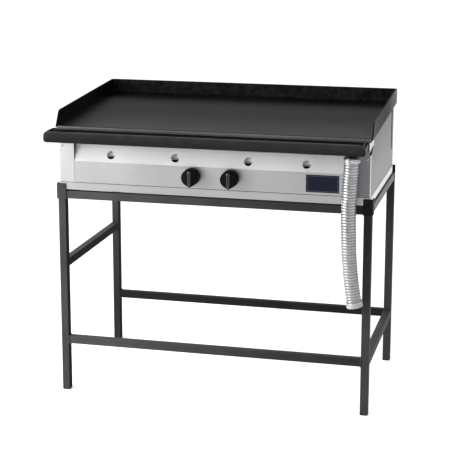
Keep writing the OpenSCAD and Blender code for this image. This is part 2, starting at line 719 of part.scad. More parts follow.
// Collar that is pressed in with the spindle but doesn't turn
module push_collar(x) color(c_steel) origin() difference() {
    rod_y(collar_y, collar_t, spindle_r + 3, x, knob_z);
    rod_y(collar_y - 1, collar_t + 2, spindle_r + run_gap, x, knob_z);
}
module push_collar_left() push_collar(knob_x[0]);
module push_collar_right() push_collar(knob_x[1]);

// Spindle with a flat for the knob
spindle_front = knob_face + 12;
flat_l = knob_back - spindle_front;
flat_up = spindle_r - 1.5;
module valve_spindle(x) color(c_steel) origin() difference() {
    rod_y(spindle_front, spindle_end - spindle_front, spindle_r, x, knob_z);
    translate([x - knob_r, spindle_front - 1, knob_z + flat_up]) cube([2 * knob_r, flat_l + 1, spindle_r]);
}
module valve_spindle_left() valve_spindle(knob_x[0]);
module valve_spindle_right() valve_spindle(knob_x[1]);

// Knob: a drop-shaped body drawn out to a pointer and a raised grip, bored with a flat
tip_r = 3;
function knob_outline(grow = 0) =
    let (d = knob_tip - tip_r, a = acos((knob_r - tip_r) / d), r = knob_r + grow)
    concat(arc([0, 0], r, -90 + a, 270 - a, 40),
        arc([0, -d], tip_r + grow, -90 - a, -90 + a, 6));
module knob(x) color(c_black) origin() difference() {
    union() {
        translate([x, 0, knob_z]) along_y(knob_back - knob_l * 0.45, knob_l * 0.45)
            polygon(knob_outline(-0.6));
        translate([x, 0, knob_z]) along_y(knob_face + 2, knob_l * 0.55) polygon(knob_outline());
        translate([x, 0, knob_z]) along_y(knob_face, 3) polygon(knob_outline(-1.2));
        translate([x, 0, knob_z]) along_y(knob_face - 5, 5 + eps)
            polygon([[-3, -knob_tip + 1.5], [3, -knob_tip + 1.5], [6, -10], [6, 10], [4, knob_r - 3],
                [-4, knob_r - 3], [-6, 10], [-6, -10]]);
    }
    difference() {
        rod_y(spindle_front, knob_l, spindle_r + run_gap, x, knob_z);
        translate([x - knob_r, spindle_front - 1, knob_z + flat_up + run_gap])
            cube([2 * knob_r, knob_l + 2, spindle_r]);
    }
}
module knob_left() knob(knob_x[0]);
module knob_right() knob(knob_x[1]);

// Brass injectors that point into the burners' mixing tubes
injector_y = neck_y + neck_l + valve_l;
nut_l = 6;
nozzle_l = 11;
jet_r = 0.8;
module injectors() color(c_brass) origin() for (x = knob_x) difference() {
    union() {
        translate([x, injector_y, knob_z]) rotate([-90, 0, 0]) cylinder(r = 7, h = nut_l, $fn = 6);
        rod_y(injector_y + nut_l - 1, nozzle_l + 1, 4.5, x, knob_z);
    }
    rod_y(injector_y - 1, nut_l + nozzle_l + 2, jet_r, x, knob_z);
}

// Burner: two ported tubes, a cross tube behind, a riser and a mixing tube fed by the injector
module burner(x_ported, x_mix) color(c_steel) origin() {
    x_all = concat(x_ported, [x_mix]);
    x0 = min(x_all) - cross_d / 2;
    cross_l = max(x_all) + cross_d / 2 - x0;
    ported_l = cross_y - burner_y0;
    difference() {
        union() {
            for (x = x_ported) rod_y(burner_y0, ported_l, burner_d / 2, x, burner_z);
            rod_x(x0, cross_l, cross_d / 2, cross_y, burner_z);
            rod_y(mix_y, cross_y + 13 - mix_y, burner_d / 2, x_mix, knob_z);
            translate([x_mix, cross_y, knob_z]) cylinder(d = riser_d, h = burner_z - knob_z);
        }
        for (x = x_ported)
            rod_y(burner_y0 + 2, ported_l - 2, burner_d / 2 - burner_wall, x, burner_z);
        rod_x(x0 + 2, cross_l - 4, cross_d / 2 - burner_wall, cross_y, burner_z);
        rod_y(mix_y - 1, cross_y + 12 - mix_y, burner_d / 2 - burner_wall, x_mix, knob_z);
        translate([x_mix, cross_y, knob_z]) cylinder(d = riser_d - 2 * burner_wall, h = burner_z - knob_z);
        for (x = x_ported, y = [burner_y0 + 16 : port_pitch : cross_y - 24])
            translate([x - 9, y, burner_z + burner_d / 2 - 4]) cube([18, port_w, 6]);
    }
}
module burner_left() burner([hole_x[0], hole_x[1]], knob_x[0]);
module burner_right() burner([hole_x[2], hole_x[3]], knob_x[1]);

// Angle bars across the box that carry the burner tubes
module burner_support(y) color(c_steel) origin()
    translate([0, y, support_z]) along_x(-half_b + sheet, body_w - 2 * sheet) {
        translate([0, support_w - support_t]) square([support_w, support_t]);
        square([support_t, support_w]);
    }
module burner_support_front() burner_support(support_y[0]);
module burner_support_rear() burner_support(support_y[1]);

leg_front_left();
leg_front_right();
leg_rear_left();
leg_rear_right();
foot_caps();
top_rail_front();
top_rail_rear();
top_rail_left();
top_rail_right();
bottom_rail_front();
bottom_rail_rear();
low_side_bar_right();
mid_side_bar_left();
corner_stop_front_left();
corner_stop_front_right();
rear_stop_left();
rear_stop_right();
stop_screws();
body_pads();
base_strip_front();
base_strip_rear();
base_strip_left();
base_strip_right();
side_panel_left();
side_panel_right();
front_panel();
front_baffle();
rear_panel();
panel_screws();
badge_plate();
griddle_plate();
rear_guard();
side_guard_left();
side_guard_right();
plate_stiffeners();
gutter_trough();
gutter_end_left();
gutter_end_right();
gutter_hooks();
drain_spout();
hose_clamp_band();
hose_clamp_screw();
drain_hose();
hose_end_cuff();
gas_manifold();
manifold_brackets();
gas_inlet_tail();
valve_body_left();
valve_body_right();
push_collar_left();
push_collar_right();
valve_spindle_left();
valve_spindle_right();
knob_left();
knob_right();
injectors();
burner_left();
burner_right();
burner_support_front();
burner_support_rear();
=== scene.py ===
"""Looks, light and camera of the gas griddle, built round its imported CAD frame.

Every length is in metres and every point is in the frame of the CAD model: X to the
right of a cook who faces the knobs, Y to the back and Z up from the floor.
"""
from __future__ import annotations

import logging
import math
from dataclasses import dataclass, field
from enum import Enum
from functools import cache
from typing import Any, Callable, Iterable, Protocol, Sequence

import bmesh
import bpy
from bmesh.types import BMesh
from bpy.types import Material, MeshPolygon, Node, NodeSocket, NodeTree, Object
from mathutils import Matrix, Vector


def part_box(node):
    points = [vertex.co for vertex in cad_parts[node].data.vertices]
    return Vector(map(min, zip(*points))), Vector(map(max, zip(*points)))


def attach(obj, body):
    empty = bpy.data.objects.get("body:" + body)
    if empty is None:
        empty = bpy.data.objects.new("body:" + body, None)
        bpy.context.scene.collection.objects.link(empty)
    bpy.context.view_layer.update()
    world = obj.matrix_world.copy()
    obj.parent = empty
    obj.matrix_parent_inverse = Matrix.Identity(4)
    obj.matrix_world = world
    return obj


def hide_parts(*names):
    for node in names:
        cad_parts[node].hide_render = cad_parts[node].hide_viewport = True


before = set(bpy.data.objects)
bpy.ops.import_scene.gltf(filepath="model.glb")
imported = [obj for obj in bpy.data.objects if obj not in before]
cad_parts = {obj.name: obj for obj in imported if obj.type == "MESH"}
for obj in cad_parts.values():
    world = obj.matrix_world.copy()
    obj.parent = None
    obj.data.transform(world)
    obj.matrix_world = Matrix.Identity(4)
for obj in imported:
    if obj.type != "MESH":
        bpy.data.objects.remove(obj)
log = logging.getLogger("griddle")
logging.basicConfig(level=logging.INFO, format="%(message)s")

MM = 0.001
BODY = "griddle"
Point = Sequence[float]
Outline = list[tuple[float, float]]
Pair = tuple[float, float]
UNIT: Pair = (0.0, 1.0)


class Grain(Enum):
    """The axis that a brushed finish runs along."""

    ALONG_X = (1.0, 60.0, 60.0)
    ALONG_Y = (60.0, 1.0, 60.0)
    ALONG_Z = (60.0, 60.0, 1.0)


class Side(Enum):
    """The two ends of the griddle, as a sign along X."""

    LEFT = -1
    RIGHT = 1

    @property
    def word(self) -> str:
        """The side's word in the names of nodes and pieces."""
        return self.name.lower()


# ---------------------------------------------------------------- helpers


def linear(code: str) -> tuple[float, float, float, float]:
    """Turns an sRGB hex colour into linear RGBA.

    Args:
        code: A colour such as "#c8c9ca".

    Returns:
        Four linear values for a shader socket.
    """
    parts = [int(code[i:i + 2], 16) / 255 for i in (1, 3, 5)]
    r, g, b = (v / 12.92 if v <= 0.04045 else ((v + 0.055) / 1.055) ** 2.4 for v in parts)
    return (r, g, b, 1.0)


def feed(tree: NodeTree, node: Node, inputs: dict[Any, Any]) -> Node:
    """Sets or links the inputs of a node.

    Args:
        tree: The node's tree.
        node: The node.
        inputs: Values, sockets or nodes by input name or number. A node gives its first
            output that is in use, and a list goes into one socket that takes several.

    Returns:
        The same node.
    """
    for key, given in inputs.items():
        for value in given if isinstance(given, list) else [given]:
            if isinstance(value, Node):
                value = next(socket for socket in value.outputs if socket.enabled)
            if isinstance(value, NodeSocket):
                tree.links.new(value, node.inputs[key])
            else:
                node.inputs[key].default_value = value
    return node


def add(tree: NodeTree, kind: str, inputs: dict[Any, Any] | None = None,
        stops: Sequence[tuple[float, Any]] = (), **settings: Any) -> Node:
    """Adds one node with its settings, values and links.

    Args:
        tree: The node tree that takes the node.
        kind: The node's type name.
        inputs: What feed() takes.
        stops: A colour ramp's two positions, each with a hex colour or linear RGBA.
        settings: Attributes of the node itself.

    Returns:
        The new node.
    """
    made = tree.nodes.new(kind)
    for name, value in settings.items():
        setattr(made, name, value)
    if stops:
        for element, (place, tone) in zip(made.color_ramp.elements, stops):
            element.position = place
            element.color = linear(tone) if isinstance(tone, str) else tone
    return feed(tree, made, inputs or {})


def spread(value: Any, start: Pair, end: Pair) -> dict[str, Any]:
    """The inputs of a Map Range that turns one pair of limits into another."""
    limits = zip(("From Min", "From Max", "To Min", "To Max"), (*start, *end))
    return {"Value": value, **dict(limits)}


def shade(name: str) -> tuple[Material, NodeTree, Node, NodeSocket]:
    """Starts a material.

    Args:
        name: The material's name.

    Returns:
        The material, its tree, its Principled shader and the Object coordinates.
    """
    material = bpy.data.materials.new(name)
    material.use_nodes = True
    tree = material.node_tree
    place = add(tree, "ShaderNodeTexCoord").outputs["Object"]
    return material, tree, tree.nodes["Principled BSDF"], place


def link_new(name: str, data: bpy.types.ID) -> Object:
    """Makes an object of a mesh, curve, lamp or camera and links it into the scene."""
    made = bpy.data.objects.new(name, data)
    bpy.context.scene.collection.objects.link(made)
    return made


def clothe(piece: Object, finish: Finish) -> None:
    """Gives every face of a piece one finish."""
    piece.data.materials.clear()
    piece.data.materials.append(finish.material())


def repaint(piece: Object, finish: Finish, chosen: Callable[[MeshPolygon], bool]) -> None:
    """Gives some faces of a piece a further finish.

    Args:
        piece: The piece.
        finish: The further finish.
        chosen: Says whether a face gets it.
    """
    piece.data.materials.append(finish.material())
    slot = len(piece.data.materials) - 1
    for face in piece.data.polygons:
        if chosen(face):
            face.material_index = slot


def to_piece(name: str, shape: BMesh, finish: Finish, smooth_below: float) -> Object:
    """Turns a bmesh into an object at the origin.

    Args:
        name: The object's name.
        shape: The geometry, which is freed.
        finish: Its finish.
        smooth_below: Edges flatter than this many degrees are shaded smooth.

    Returns:
        The new object.
    """
    mesh = bpy.data.meshes.new(name)
    limit = math.radians(smooth_below)
    for face in shape.faces:
        face.smooth = True
    for edge in shape.edges:
        edge.smooth = len(edge.link_faces) == 2 and edge.calc_face_angle(0.0) < limit
    shape.to_mesh(mesh)
    shape.free()
    piece = link_new(name, mesh)
    clothe(piece, finish)
    return piece


def settle(piece: Object) -> Object:
    """Applies a piece's modifiers by replacing its mesh with the evaluated one.

    Args:
        piece: The object, with its modifiers.

    Returns:
        The object without modifiers, made new where it was a curve.
    """
    bpy.context.view_layer.update()
    graph = bpy.context.evaluated_depsgraph_get()
    mesh = bpy.data.meshes.new_from_object(piece.evaluated_get(graph))
    mesh.name = name = piece.name
    if piece.type == "MESH":
        piece.modifiers.clear()
        piece.data = mesh
        return piece
    made = link_new(name + "_mesh", mesh)
    bpy.data.objects.remove(piece)
    made.name = name
    return made


def merged_copy(node: str) -> BMesh:
    """Copies a CAD node's mesh with its doubles merged and its flat faces joined.

    Args:
        node: The CAD node.

    Returns:
        A clean bmesh in the frame of the model.
    """
    shape = bmesh.new()
    shape.from_mesh(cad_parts[node].data)
    bmesh.ops.remove_doubles(shape, verts=shape.verts, dist=1e-6)
    bmesh.ops.dissolve_limit(shape, angle_limit=math.radians(0.6), verts=shape.verts,
                             edges=shape.edges)
    return shape


# ---------------------------------------------------------------- finishes


@dataclass(frozen=True)
class PowderCoat:
    """Satin powder coat on welded tube: dark, a little orange peel, soft sheen."""

    name: str = "powder_coat"
    colour: str = "#3d3d3f"
    dust: str = "#353537"
    roughness: float = 0.6
    level: float = 0.2
    skin: float = 0.0  # the cured top skin, which shines at a low angle
    peel: float = 0.0022  # spacing of the orange peel, drawn coarse enough to show
    painted_shade: float = 0.6  # what the painted shade takes from the tone where both ramps below are full, by default in the upper right-hand corner beside the drain
    painted_shade_x: Pair = (0.05, 0.5)
    painted_shade_z: Pair = (0.38, 0.66)

    @cache
    def material(self) -> Material:
        """Builds the material.

        Returns:
            The material.
        """
        made, tree, shader, place = shade(self.name)
        peel = add(tree, "ShaderNodeTexNoise", {
            "Vector": place, "Scale": 1 / self.peel, "Detail": 2.0})
        dust = add(tree, "ShaderNodeTexNoise", {"Vector": place, "Scale": 9.0, "Detail": 3.0})
        tone = add(tree, "ShaderNodeValToRGB", {"Fac": dust},
                   stops=[(0.35, self.dust), (0.65, self.colour)])
        # Painted shade: the tone darkens where the X ramp and the Z ramp are both full.
        parts = add(tree, "ShaderNodeSeparateXYZ", {"Vector": place})
        across, up = (add(
            tree, "ShaderNodeMapRange", spread(parts.outputs[axis], ends, UNIT),
            interpolation_type="SMOOTHSTEP")
            for axis, ends in (("X", self.painted_shade_x), ("Z", self.painted_shade_z)))
        shade_mask = add(tree, "ShaderNodeMath", {0: across, 1: up}, operation="MULTIPLY")
        left = add(tree, "ShaderNodeMapRange", spread(shade_mask, UNIT, (1.0, 1.0 - self.painted_shade)))
        feed(tree, shader, {
            "Base Color": add(tree, "ShaderNodeVectorMath", {0: tone, "Scale": left},
                              operation="SCALE"),
            "Normal": add(tree, "ShaderNodeBump", {
                "Height": peel, "Strength": 0.08, "Distance": 0.0004}),
            "Roughness": self.roughness, "Specular IOR Level": self.level,
            "Coat Weight": self.skin, "Coat Roughness": 0.22})
        return made


@dataclass(frozen=True)
class BrushedStainless:
    """Brushed 430 stainless sheet: fine lines along its length and slow tone changes."""

    grain: Grain = Grain.ALONG_X
    name: str = "panels"
    colour: str = "#d4d5d5"
    roughness: float = 0.36
    line: float = 0.0016  # spacing of the brush lines, drawn coarser than real to show
    shadow: float = 0.86  # the tone of the duller lines
    painted_top_light: float = 1.0  # the scale that painted shade (below 1) or painted light (above 1) puts on the top's tone
    metal: float = 1.0  # less where the sheet is glass-blasted dull
    painted_top_span: Pair = (0.75, 0.88)  # the heights over which that painted shade or light grows from none to full

    @cache
    def material(self) -> Material:
        """Builds the material.

        Returns:
            The material.
        """
        made, tree, shader, place = shade("brushed_stainless_" + self.name)
        along = add(tree, "ShaderNodeMapping", {"Vector": place, "Scale": self.grain.value})
        lines = add(tree, "ShaderNodeTexNoise", {
            "Vector": along, "Scale": 1 / (60 * self.line), "Detail": 4.0})
        cloud = add(tree, "ShaderNodeTexNoise", {"Vector": place, "Scale": 5.0, "Detail": 2.0})
        mixed = add(tree, "ShaderNodeMix", {0: 0.35, 2: cloud, 3: lines}, data_type="FLOAT")
        bright = linear(self.colour)
        dull = (*(v * self.shadow for v in bright[:3]), 1.0)
        tone = add(tree, "ShaderNodeValToRGB", {"Fac": mixed},
                   stops=[(0.35, dull), (0.65, bright)])
        # Painted light and shade by height: the tone is scaled between these heights.
        height = add(tree, "ShaderNodeSeparateXYZ", {"Vector": place}).outputs["Z"]
        top_light = add(tree, "ShaderNodeMapRange",
                   spread(height, self.painted_top_span, (1.0, self.painted_top_light)))
        feed(tree, shader, {
            "Base Color": add(tree, "ShaderNodeVectorMath", {0: tone, "Scale": top_light},
                              operation="SCALE"),
            "Roughness": add(tree, "ShaderNodeMapRange", spread(
                lines, UNIT, (self.roughness - 0.04, self.roughness + 0.06))),
            "Normal": add(tree, "ShaderNodeBump", {
                "Height": lines, "Strength": 0.05, "Distance": 0.0003}),
            "Metallic": self.metal})
        return made


@dataclass(frozen=True)
class SeasonedSteel:
    """Blackened carbon steel plate, oiled: almost no sheen head-on, a grey one at a low angle."""

    name: str = "seasoned_steel"
    dark: str = "#09090a"
    colour: str = "#111112"
    roughness: float = 0.52
    level: float = 0.04
    wiped: float = 0.17  # how much smoother scraping leaves the front
    oiled: float = 0.25  # and how much smoother oil leaves the back
    front: Pair = (-0.25, 0.1)  # in Y, from the most scraped to none
    rear: Pair = (0.0, 0.28)  # and from none to the most oiled
    scale: float = 6.0
    patches: Pair = (0.3, 0.7)  # close together, they give marbled patches
    mill: float = 420.0  # how fine the mill scale's grain is

    @cache
    def material(self) -> Material:
        """Builds the material.

        Returns:
            The material.
        """
        made, tree, shader, place = shade(self.name)
        season = add(tree, "ShaderNodeTexNoise", {
            "Vector": place, "Scale": self.scale, "Detail": 6.0})
        mill = add(tree, "ShaderNodeTexNoise", {
            "Vector": place, "Scale": self.mill, "Detail": 2.0})
        depth = add(tree, "ShaderNodeSeparateXYZ", {"Vector": place}).outputs["Y"]
        total = add(tree, "ShaderNodeMapRange", spread(
            season, UNIT, (self.roughness - 0.05, self.roughness + 0.07)))
        for reach, change in ((self.front, (-self.wiped, 0.0)),
                              (self.rear, (0.0, -self.oiled))):
            total = add(tree, "ShaderNodeMath", {
                0: total, 1: add(tree, "ShaderNodeMapRange", spread(depth, reach, change))})
        feed(tree, shader, {
            "Base Color": add(tree, "ShaderNodeValToRGB", {"Fac": season},
                              stops=[*zip(self.patches, (self.dark, self.colour))]),
            "Normal": add(tree, "ShaderNodeBump", {
                "Height": mill, "Strength": 0.06, "Distance": 0.0003}),
            "Roughness": total, "Specular IOR Level": self.level})
        return made


@dataclass(frozen=True)
class BlackEnamel:
    """Black baked enamel on the folded gutter: smooth and glossier than the stand."""

    dark: str = "#151517"
    colour: str = "#19191b"
    roughness: float = 0.34
    level: float = 0.15
    fade: Pair = (0.822, 0.868)  # heights between which painted shade at the foot turns into painted light at the top
    painted_light_tones: Pair = (0.2, 3.6)  # the tone's scale below and above them

    @cache
    def material(self) -> Material:
        """Builds the material.

        Returns:
            The material.
        """
        made, tree, shader, place = shade("black_enamel")
        flow = add(tree, "ShaderNodeTexNoise", {"Vector": place, "Scale": 28.0, "Detail": 2.0})
        tone = add(tree, "ShaderNodeValToRGB", {"Fac": flow},
                   stops=[(0.35, self.dark), (0.65, self.colour)])
        # Painted shade at the gutter's foot and painted light at its top.
        height = add(tree, "ShaderNodeSeparateXYZ", {"Vector": place}).outputs["Z"]
        pale = add(tree, "ShaderNodeMapRange", spread(height, self.fade, self.painted_light_tones))
        feed(tree, shader, {
            "Base Color": add(tree, "ShaderNodeVectorMath", {0: tone, "Scale": pale},
                              operation="SCALE"),
            "Normal": add(tree, "ShaderNodeBump", {
                "Height": flow, "Strength": 0.03, "Distance": 0.001}),
            "Roughness": self.roughness, "Specular IOR Level": self.level})
        return made


@dataclass(frozen=True)
class BareMetal:
    """A plain metal, machined or rolled, with a faint tone change and soft scratches."""

    name: str
    dark: str
    light: str
    roughness: float
    scale: float = 60.0
    dirty: str = ""  # the attribute that is 1 where dirt and painted shade lie
    dirt: float = 0.75  # what full dirt and painted shade take from the tone
    metal: float = 1.0  # less for a dull, oxidised face
    clean: Pair = (0.0, 1.0)  # the heights between which such a face turns bare

    @cache
    def material(self) -> Material:
        """Builds the material.

        Returns:
            The material.
        """
        made, tree, shader, place = shade(self.name)
        noise = add(tree, "ShaderNodeTexNoise", {
            "Vector": place, "Scale": self.scale, "Detail": 3.0})
        tone = add(tree, "ShaderNodeValToRGB", {"Fac": noise},
                   stops=[(0.3, self.dark), (0.7, self.light)])
        bare: Any = self.metal
        if self.metal < 1.0:
            height = add(tree, "ShaderNodeSeparateXYZ", {"Vector": place}).outputs["Z"]
            bare = add(tree, "ShaderNodeMapRange",
                       spread(height, self.clean, (self.metal, 1.0)))
        # Dirt, and painted shade in hollows, darken the tone where the attribute says.
        if self.dirty:
            lies = add(tree, "ShaderNodeAttribute", attribute_name=self.dirty).outputs["Fac"]
            left = add(tree, "ShaderNodeMapRange", spread(lies, UNIT, (1.0, 1.0 - self.dirt)))
            tone = add(tree, "ShaderNodeVectorMath", {0: tone, "Scale": left},
                       operation="SCALE")
        feed(tree, shader, {
            "Base Color": tone, "Metallic": bare,
            "Roughness": add(tree, "ShaderNodeMapRange", spread(
                noise, UNIT, (self.roughness * 0.8, self.roughness * 1.25)))})
        return made


@dataclass(frozen=True)
class Moulded:
    """Moulded plastic or rubber: one colour, a fine spark-eroded texture."""

    name: str
    colour: str
    roughness: float
    grain: float = 0.0006
    level: float = 0.5

    @cache
    def material(self) -> Material:
        """Builds the material.

        Returns:
            The material.
        """
        made, tree, shader, place = shade(self.name)
        grain = add(tree, "ShaderNodeTexNoise", {
            "Vector": place, "Scale": 1 / self.grain, "Detail": 1.0})
        feed(tree, shader, {
            "Base Color": linear(self.colour), "Specular IOR Level": self.level,
            "Roughness": add(tree, "ShaderNodeMapRange", spread(
                grain, UNIT, (self.roughness * 0.85, self.roughness * 1.15))),
            "Normal": add(tree, "ShaderNodeBump", {
                "Height": grain, "Strength": 0.05, "Distance": 0.0002})})
        return made


@dataclass(frozen=True)
class BareBadge:
    """A printed plate left without words: a navy field in a thin pale line."""

    dark: str = "#0c1122"
    field_colour: str = "#121829"
    line_colour: str = "#4a5160"
    middle: Pair = (0.3564, 0.728)
    half: Pair = (0.051, 0.027)
    border: float = 0.004
    line: float = 0.0012

    @cache
    def material(self) -> Material:
        """Builds the material.

        Returns:
            The material.
        """
        made, tree, shader, place = shade("bare_badge")
        parts = add(tree, "ShaderNodeSeparateXYZ", {"Vector": place})
        inset = []
        for axis, middle, half in zip("XZ", self.middle, self.half):
            off = add(tree, "ShaderNodeMath", {0: parts.outputs[axis], 1: middle},
                      operation="SUBTRACT")
            size = add(tree, "ShaderNodeMath", {0: off}, operation="ABSOLUTE")
            inset.append(add(tree, "ShaderNodeMath", {0: half, 1: size}, operation="SUBTRACT"))
        edge = add(tree, "ShaderNodeMath", dict(enumerate(inset)), operation="MINIMUM")
        on_line = add(tree, "ShaderNodeMath", {0: edge, 1: self.border, 2: self.line / 2},
                      operation="COMPARE")
        noise = add(tree, "ShaderNodeTexNoise", {"Vector": place, "Scale": 25.0})
        print_tone = add(tree, "ShaderNodeValToRGB", {"Fac": noise},
                         stops=[(0.3, self.dark), (0.7, self.field_colour)])
        feed(tree, shader, {
            "Base Color": add(tree, "ShaderNodeMix", {
                0: on_line, 6: print_tone, 7: linear(self.line_colour)}, data_type="RGBA"),
            "Roughness": 0.25, "Specular IOR Level": 0.3})
        return made


class Finish(Protocol):
    """Whatever gives a material."""

    def material(self) -> Material:
        """The material, which the first call builds."""


# Unless a coat sets its own ramps, it paints shade in the stand's upper right-hand corner beside
# the drain.
COAT = PowderCoat()
RUBBED_COAT = PowderCoat("rubbed_powder_coat", skin=0.45)
# Painted shade: the front rails darken towards their right-hand end.
RAIL_SHADE_COAT = PowderCoat("rail_shade_powder_coat", "#464648", "#3e3e40", painted_shade=0.7,
                       painted_shade_x=(-0.6, 0.6), painted_shade_z=(-1.0, 0.0))
# Painted shade: a darker coat for the faces that turn away from the lamps.
SHADED_SIDE_COAT = PowderCoat("shaded_side_powder_coat", "#0d0d0e", "#0a0a0b", level=0.05)
# Painted shade: darker towards the floor.
FOOT_SHADE_COAT = PowderCoat("foot_shade_powder_coat", painted_shade_x=(-2.0, -1.0), painted_shade_z=(0.6, 0.1))
SHADED_COAT = PowderCoat("shaded_powder_coat", "#232325", "#1d1d1f", level=0.1)
# Painted shade: a darker copy of the coat for the right-hand stops.
SHADED_STOP_COAT = PowderCoat("shaded_stop_powder_coat", "#131314", "#0e0e0f")
STEEL_X = BrushedStainless()
# Painted light: the side strips are a lighter copy of the steel.
LIT_STEEL_Y = BrushedStainless(Grain.ALONG_Y, "side_strips_painted_light", "#fafbfb")
# Painted light: the band's top is lighter than its foot.
BAND = BrushedStainless(Grain.ALONG_X, "leaning_band", roughness=0.6, painted_top_light=1.4, metal=0.05)
# Painted light: the baffle, in shade inside the box, is a white copy of the steel.
LIT_BAFFLE_STEEL = BrushedStainless(Grain.ALONG_X, "baffle", "#ffffff", 0.6, metal=0.05)
# Painted highlight: a bright copy of the steel on the bent tab and on the bend at each post's
# corner.
HIGHLIGHT_STEEL = BrushedStainless(Grain.ALONG_Z, "painted_highlight", "#f0f0f0")
# Painted shade: both side sheets darken towards the top, and the right one is a darker copy of
# the steel.
SHEETS = {
    Side.LEFT: BrushedStainless(Grain.ALONG_Y, "side_left_painted_shade", painted_top_light=0.5),
    Side.RIGHT: BrushedStainless(Grain.ALONG_Y, "side_right_painted_shade", "#8e8f90", painted_top_light=0.4)}
# Painted light on the left post, a lighter copy of the steel, and painted shade on the right
# post, a darker copy.
POSTS = {
    Side.LEFT: BrushedStainless(Grain.ALONG_Z, "post_left_painted_light", "#e2e2e2"),
    Side.RIGHT: BrushedStainless(Grain.ALONG_Z, "post_right_painted_shade", "#949597")}
PLATE = SeasonedSteel()
# Painted light: a lighter, glossier copy of the plate for its front-facing faces.
LIT_LIP = SeasonedSteel("lip_painted_light", "#434344", "#5a5a5b", 0.36, 0.4)
GUARD = SeasonedSteel("seasoned_guard", "#101011", "#242425", 0.55, 0.06, scale=60.0,
                      patches=(0.35, 0.75))
ENAMEL = BlackEnamel()
# The grooves between the ribs are darker: dirt, and painted shade in the hollows.
ALU = BareMetal("bright_aluminium", "#a8aaac", "#c0c2c4", 0.36, dirty="groove", dirt=0.5,
                metal=0.25, clean=(0.5, 0.62))
CLAMP = BareMetal("clamp_steel", "#c2c4c6", "#e0e1e2", 0.2)
ZINC = BareMetal("zinc_screw", "#a9abad", "#d2d4d5", 0.25, 200.0)
BRASS = BareMetal("machined_brass", "#a8823a", "#d0ab5e", 0.28, 120.0)
PIPE = BareMetal("galvanised_pipe", "#7f8285", "#a8abad", 0.42, 40.0)
BURNER = BareMetal("heat_tinted_tube", "#2c2926", "#4d463f", 0.45, 14.0)
# Heat dulling, and painted shade inside the closed box.
HEAT_AND_SHADE_INSIDE = BareMetal("heat_dulled_and_shaded_inside", "#1f1d1b", "#3b3733", 0.55, 14.0)
KNOB = Moulded("phenolic_knob", "#040405", 0.16, level=1.0)
# Matte, and a little lighter than the knob's front: the lighter tone is painted light.
KNOB_WALL_LIT = Moulded("knob_wall", "#131313", 0.6, level=0.02)
CAP = Moulded("polyethylene_cap", "#17171a", 0.5)
PAD = Moulded("rubber_pad", "#1d1d1d", 0.7, 0.001)
# Painted shade: a dark finish standing in for the shadow in the gap above each base strip.
GAP_SHADE = Moulded("painted_gap_shade", "#0c0c0d", 0.7, 0.001, 0.2)
BADGE = BareBadge()


# ---------------------------------------------------------------- geometry nodes


def tree_group(name: str, sizes: dict[str, float]) -> tuple[NodeTree, Any]:
    """Starts a Geometry Nodes tree with named size inputs.

    Args:
        name: The tree's name.
        sizes: Each input's name and default value.

    Returns:
        The tree and the sockets that give its inputs, by name.
    """
    tree = bpy.data.node_groups.new(name, "GeometryNodeTree")
    for way in ("INPUT", "OUTPUT"):
        tree.interface.new_socket("Geometry", in_out=way, socket_type="NodeSocketGeometry")
    for size, value in sizes.items():
        socket = tree.interface.new_socket(size, in_out="INPUT", socket_type="NodeSocketFloat")
        socket.default_value = value
    return tree, tree.nodes.new("NodeGroupInput").outputs


def place_copies(tree: NodeTree, points: NodeSocket, copy: Node,
                 scale: Any = (1.0, 1.0, 1.0)) -> Node:
    """Puts a copy on every point, its own Z along the point's facing direction.

    Args:
        tree: The tree that takes the nodes.
        points: The points.
        copy: The node that makes the copy.
        scale: The copies' size, as a value or a node.

    Returns:
        The node that gives the copies.
    """
    facing = add(tree, "GeometryNodeInputNamedAttribute", {"Name": "facing"},
                 data_type="FLOAT_VECTOR")
    turn = add(tree, "FunctionNodeAlignRotationToVector", {"Vector": facing}, axis="Z")
    return add(tree, "GeometryNodeInstanceOnPoints", {
        "Points": points, "Instance": copy, "Rotation": turn, "Scale": scale})


def close_tree(tree: NodeTree, geometry: Node, finish: Finish) -> NodeTree:
    """Ends a tree in Realize Instances and Set Material.

    Args:
        tree: The tree.
        geometry: The node that gives its result.
        finish: The finish of all of it.

    Returns:
        The same tree.
    """
    real = add(tree, "GeometryNodeRealizeInstances", {"Geometry": geometry})
    dressed = add(tree, "GeometryNodeSetMaterial", {
        "Geometry": real, "Material": finish.material()})
    add(tree, "NodeGroupOutput", {0: dressed})
    return tree


def grow(piece: Object, tree: NodeTree, sizes: dict[str, float]) -> Object:
    """Runs a Geometry Nodes tree on a piece and keeps the result as a plain mesh.

    Args:
        piece: The points or curve that the tree works on.
        tree: The tree.
        sizes: Values for its named inputs.

    Returns:
        The finished object.
    """
    modifier = piece.modifiers.new(tree.name, "NODES")
    modifier.node_group = tree
    for item in tree.interface.items_tree:
        if item.in_out == "INPUT" and item.name in sizes:
            modifier[item.identifier] = sizes[item.name]
    return settle(piece)


def points_object(name: str, places: Iterable[tuple[Point, Point]]) -> Object:
    """Makes an object of loose points that carry a facing direction.

    Args:
        name: The object's name.
        places: Each point with the direction that its copy's own Z takes.

    Returns:
        The object, ready for a tree that places copies.
    """
    points, normals = zip(*places)
    mesh = bpy.data.meshes.new(name)
    mesh.from_pydata([tuple(point) for point in points], [], [])
    facing = mesh.attributes.new("facing", "FLOAT_VECTOR", "POINT")
    for item, normal in zip(facing.data, normals):
        item.vector = normal
    return link_new(name, mesh)


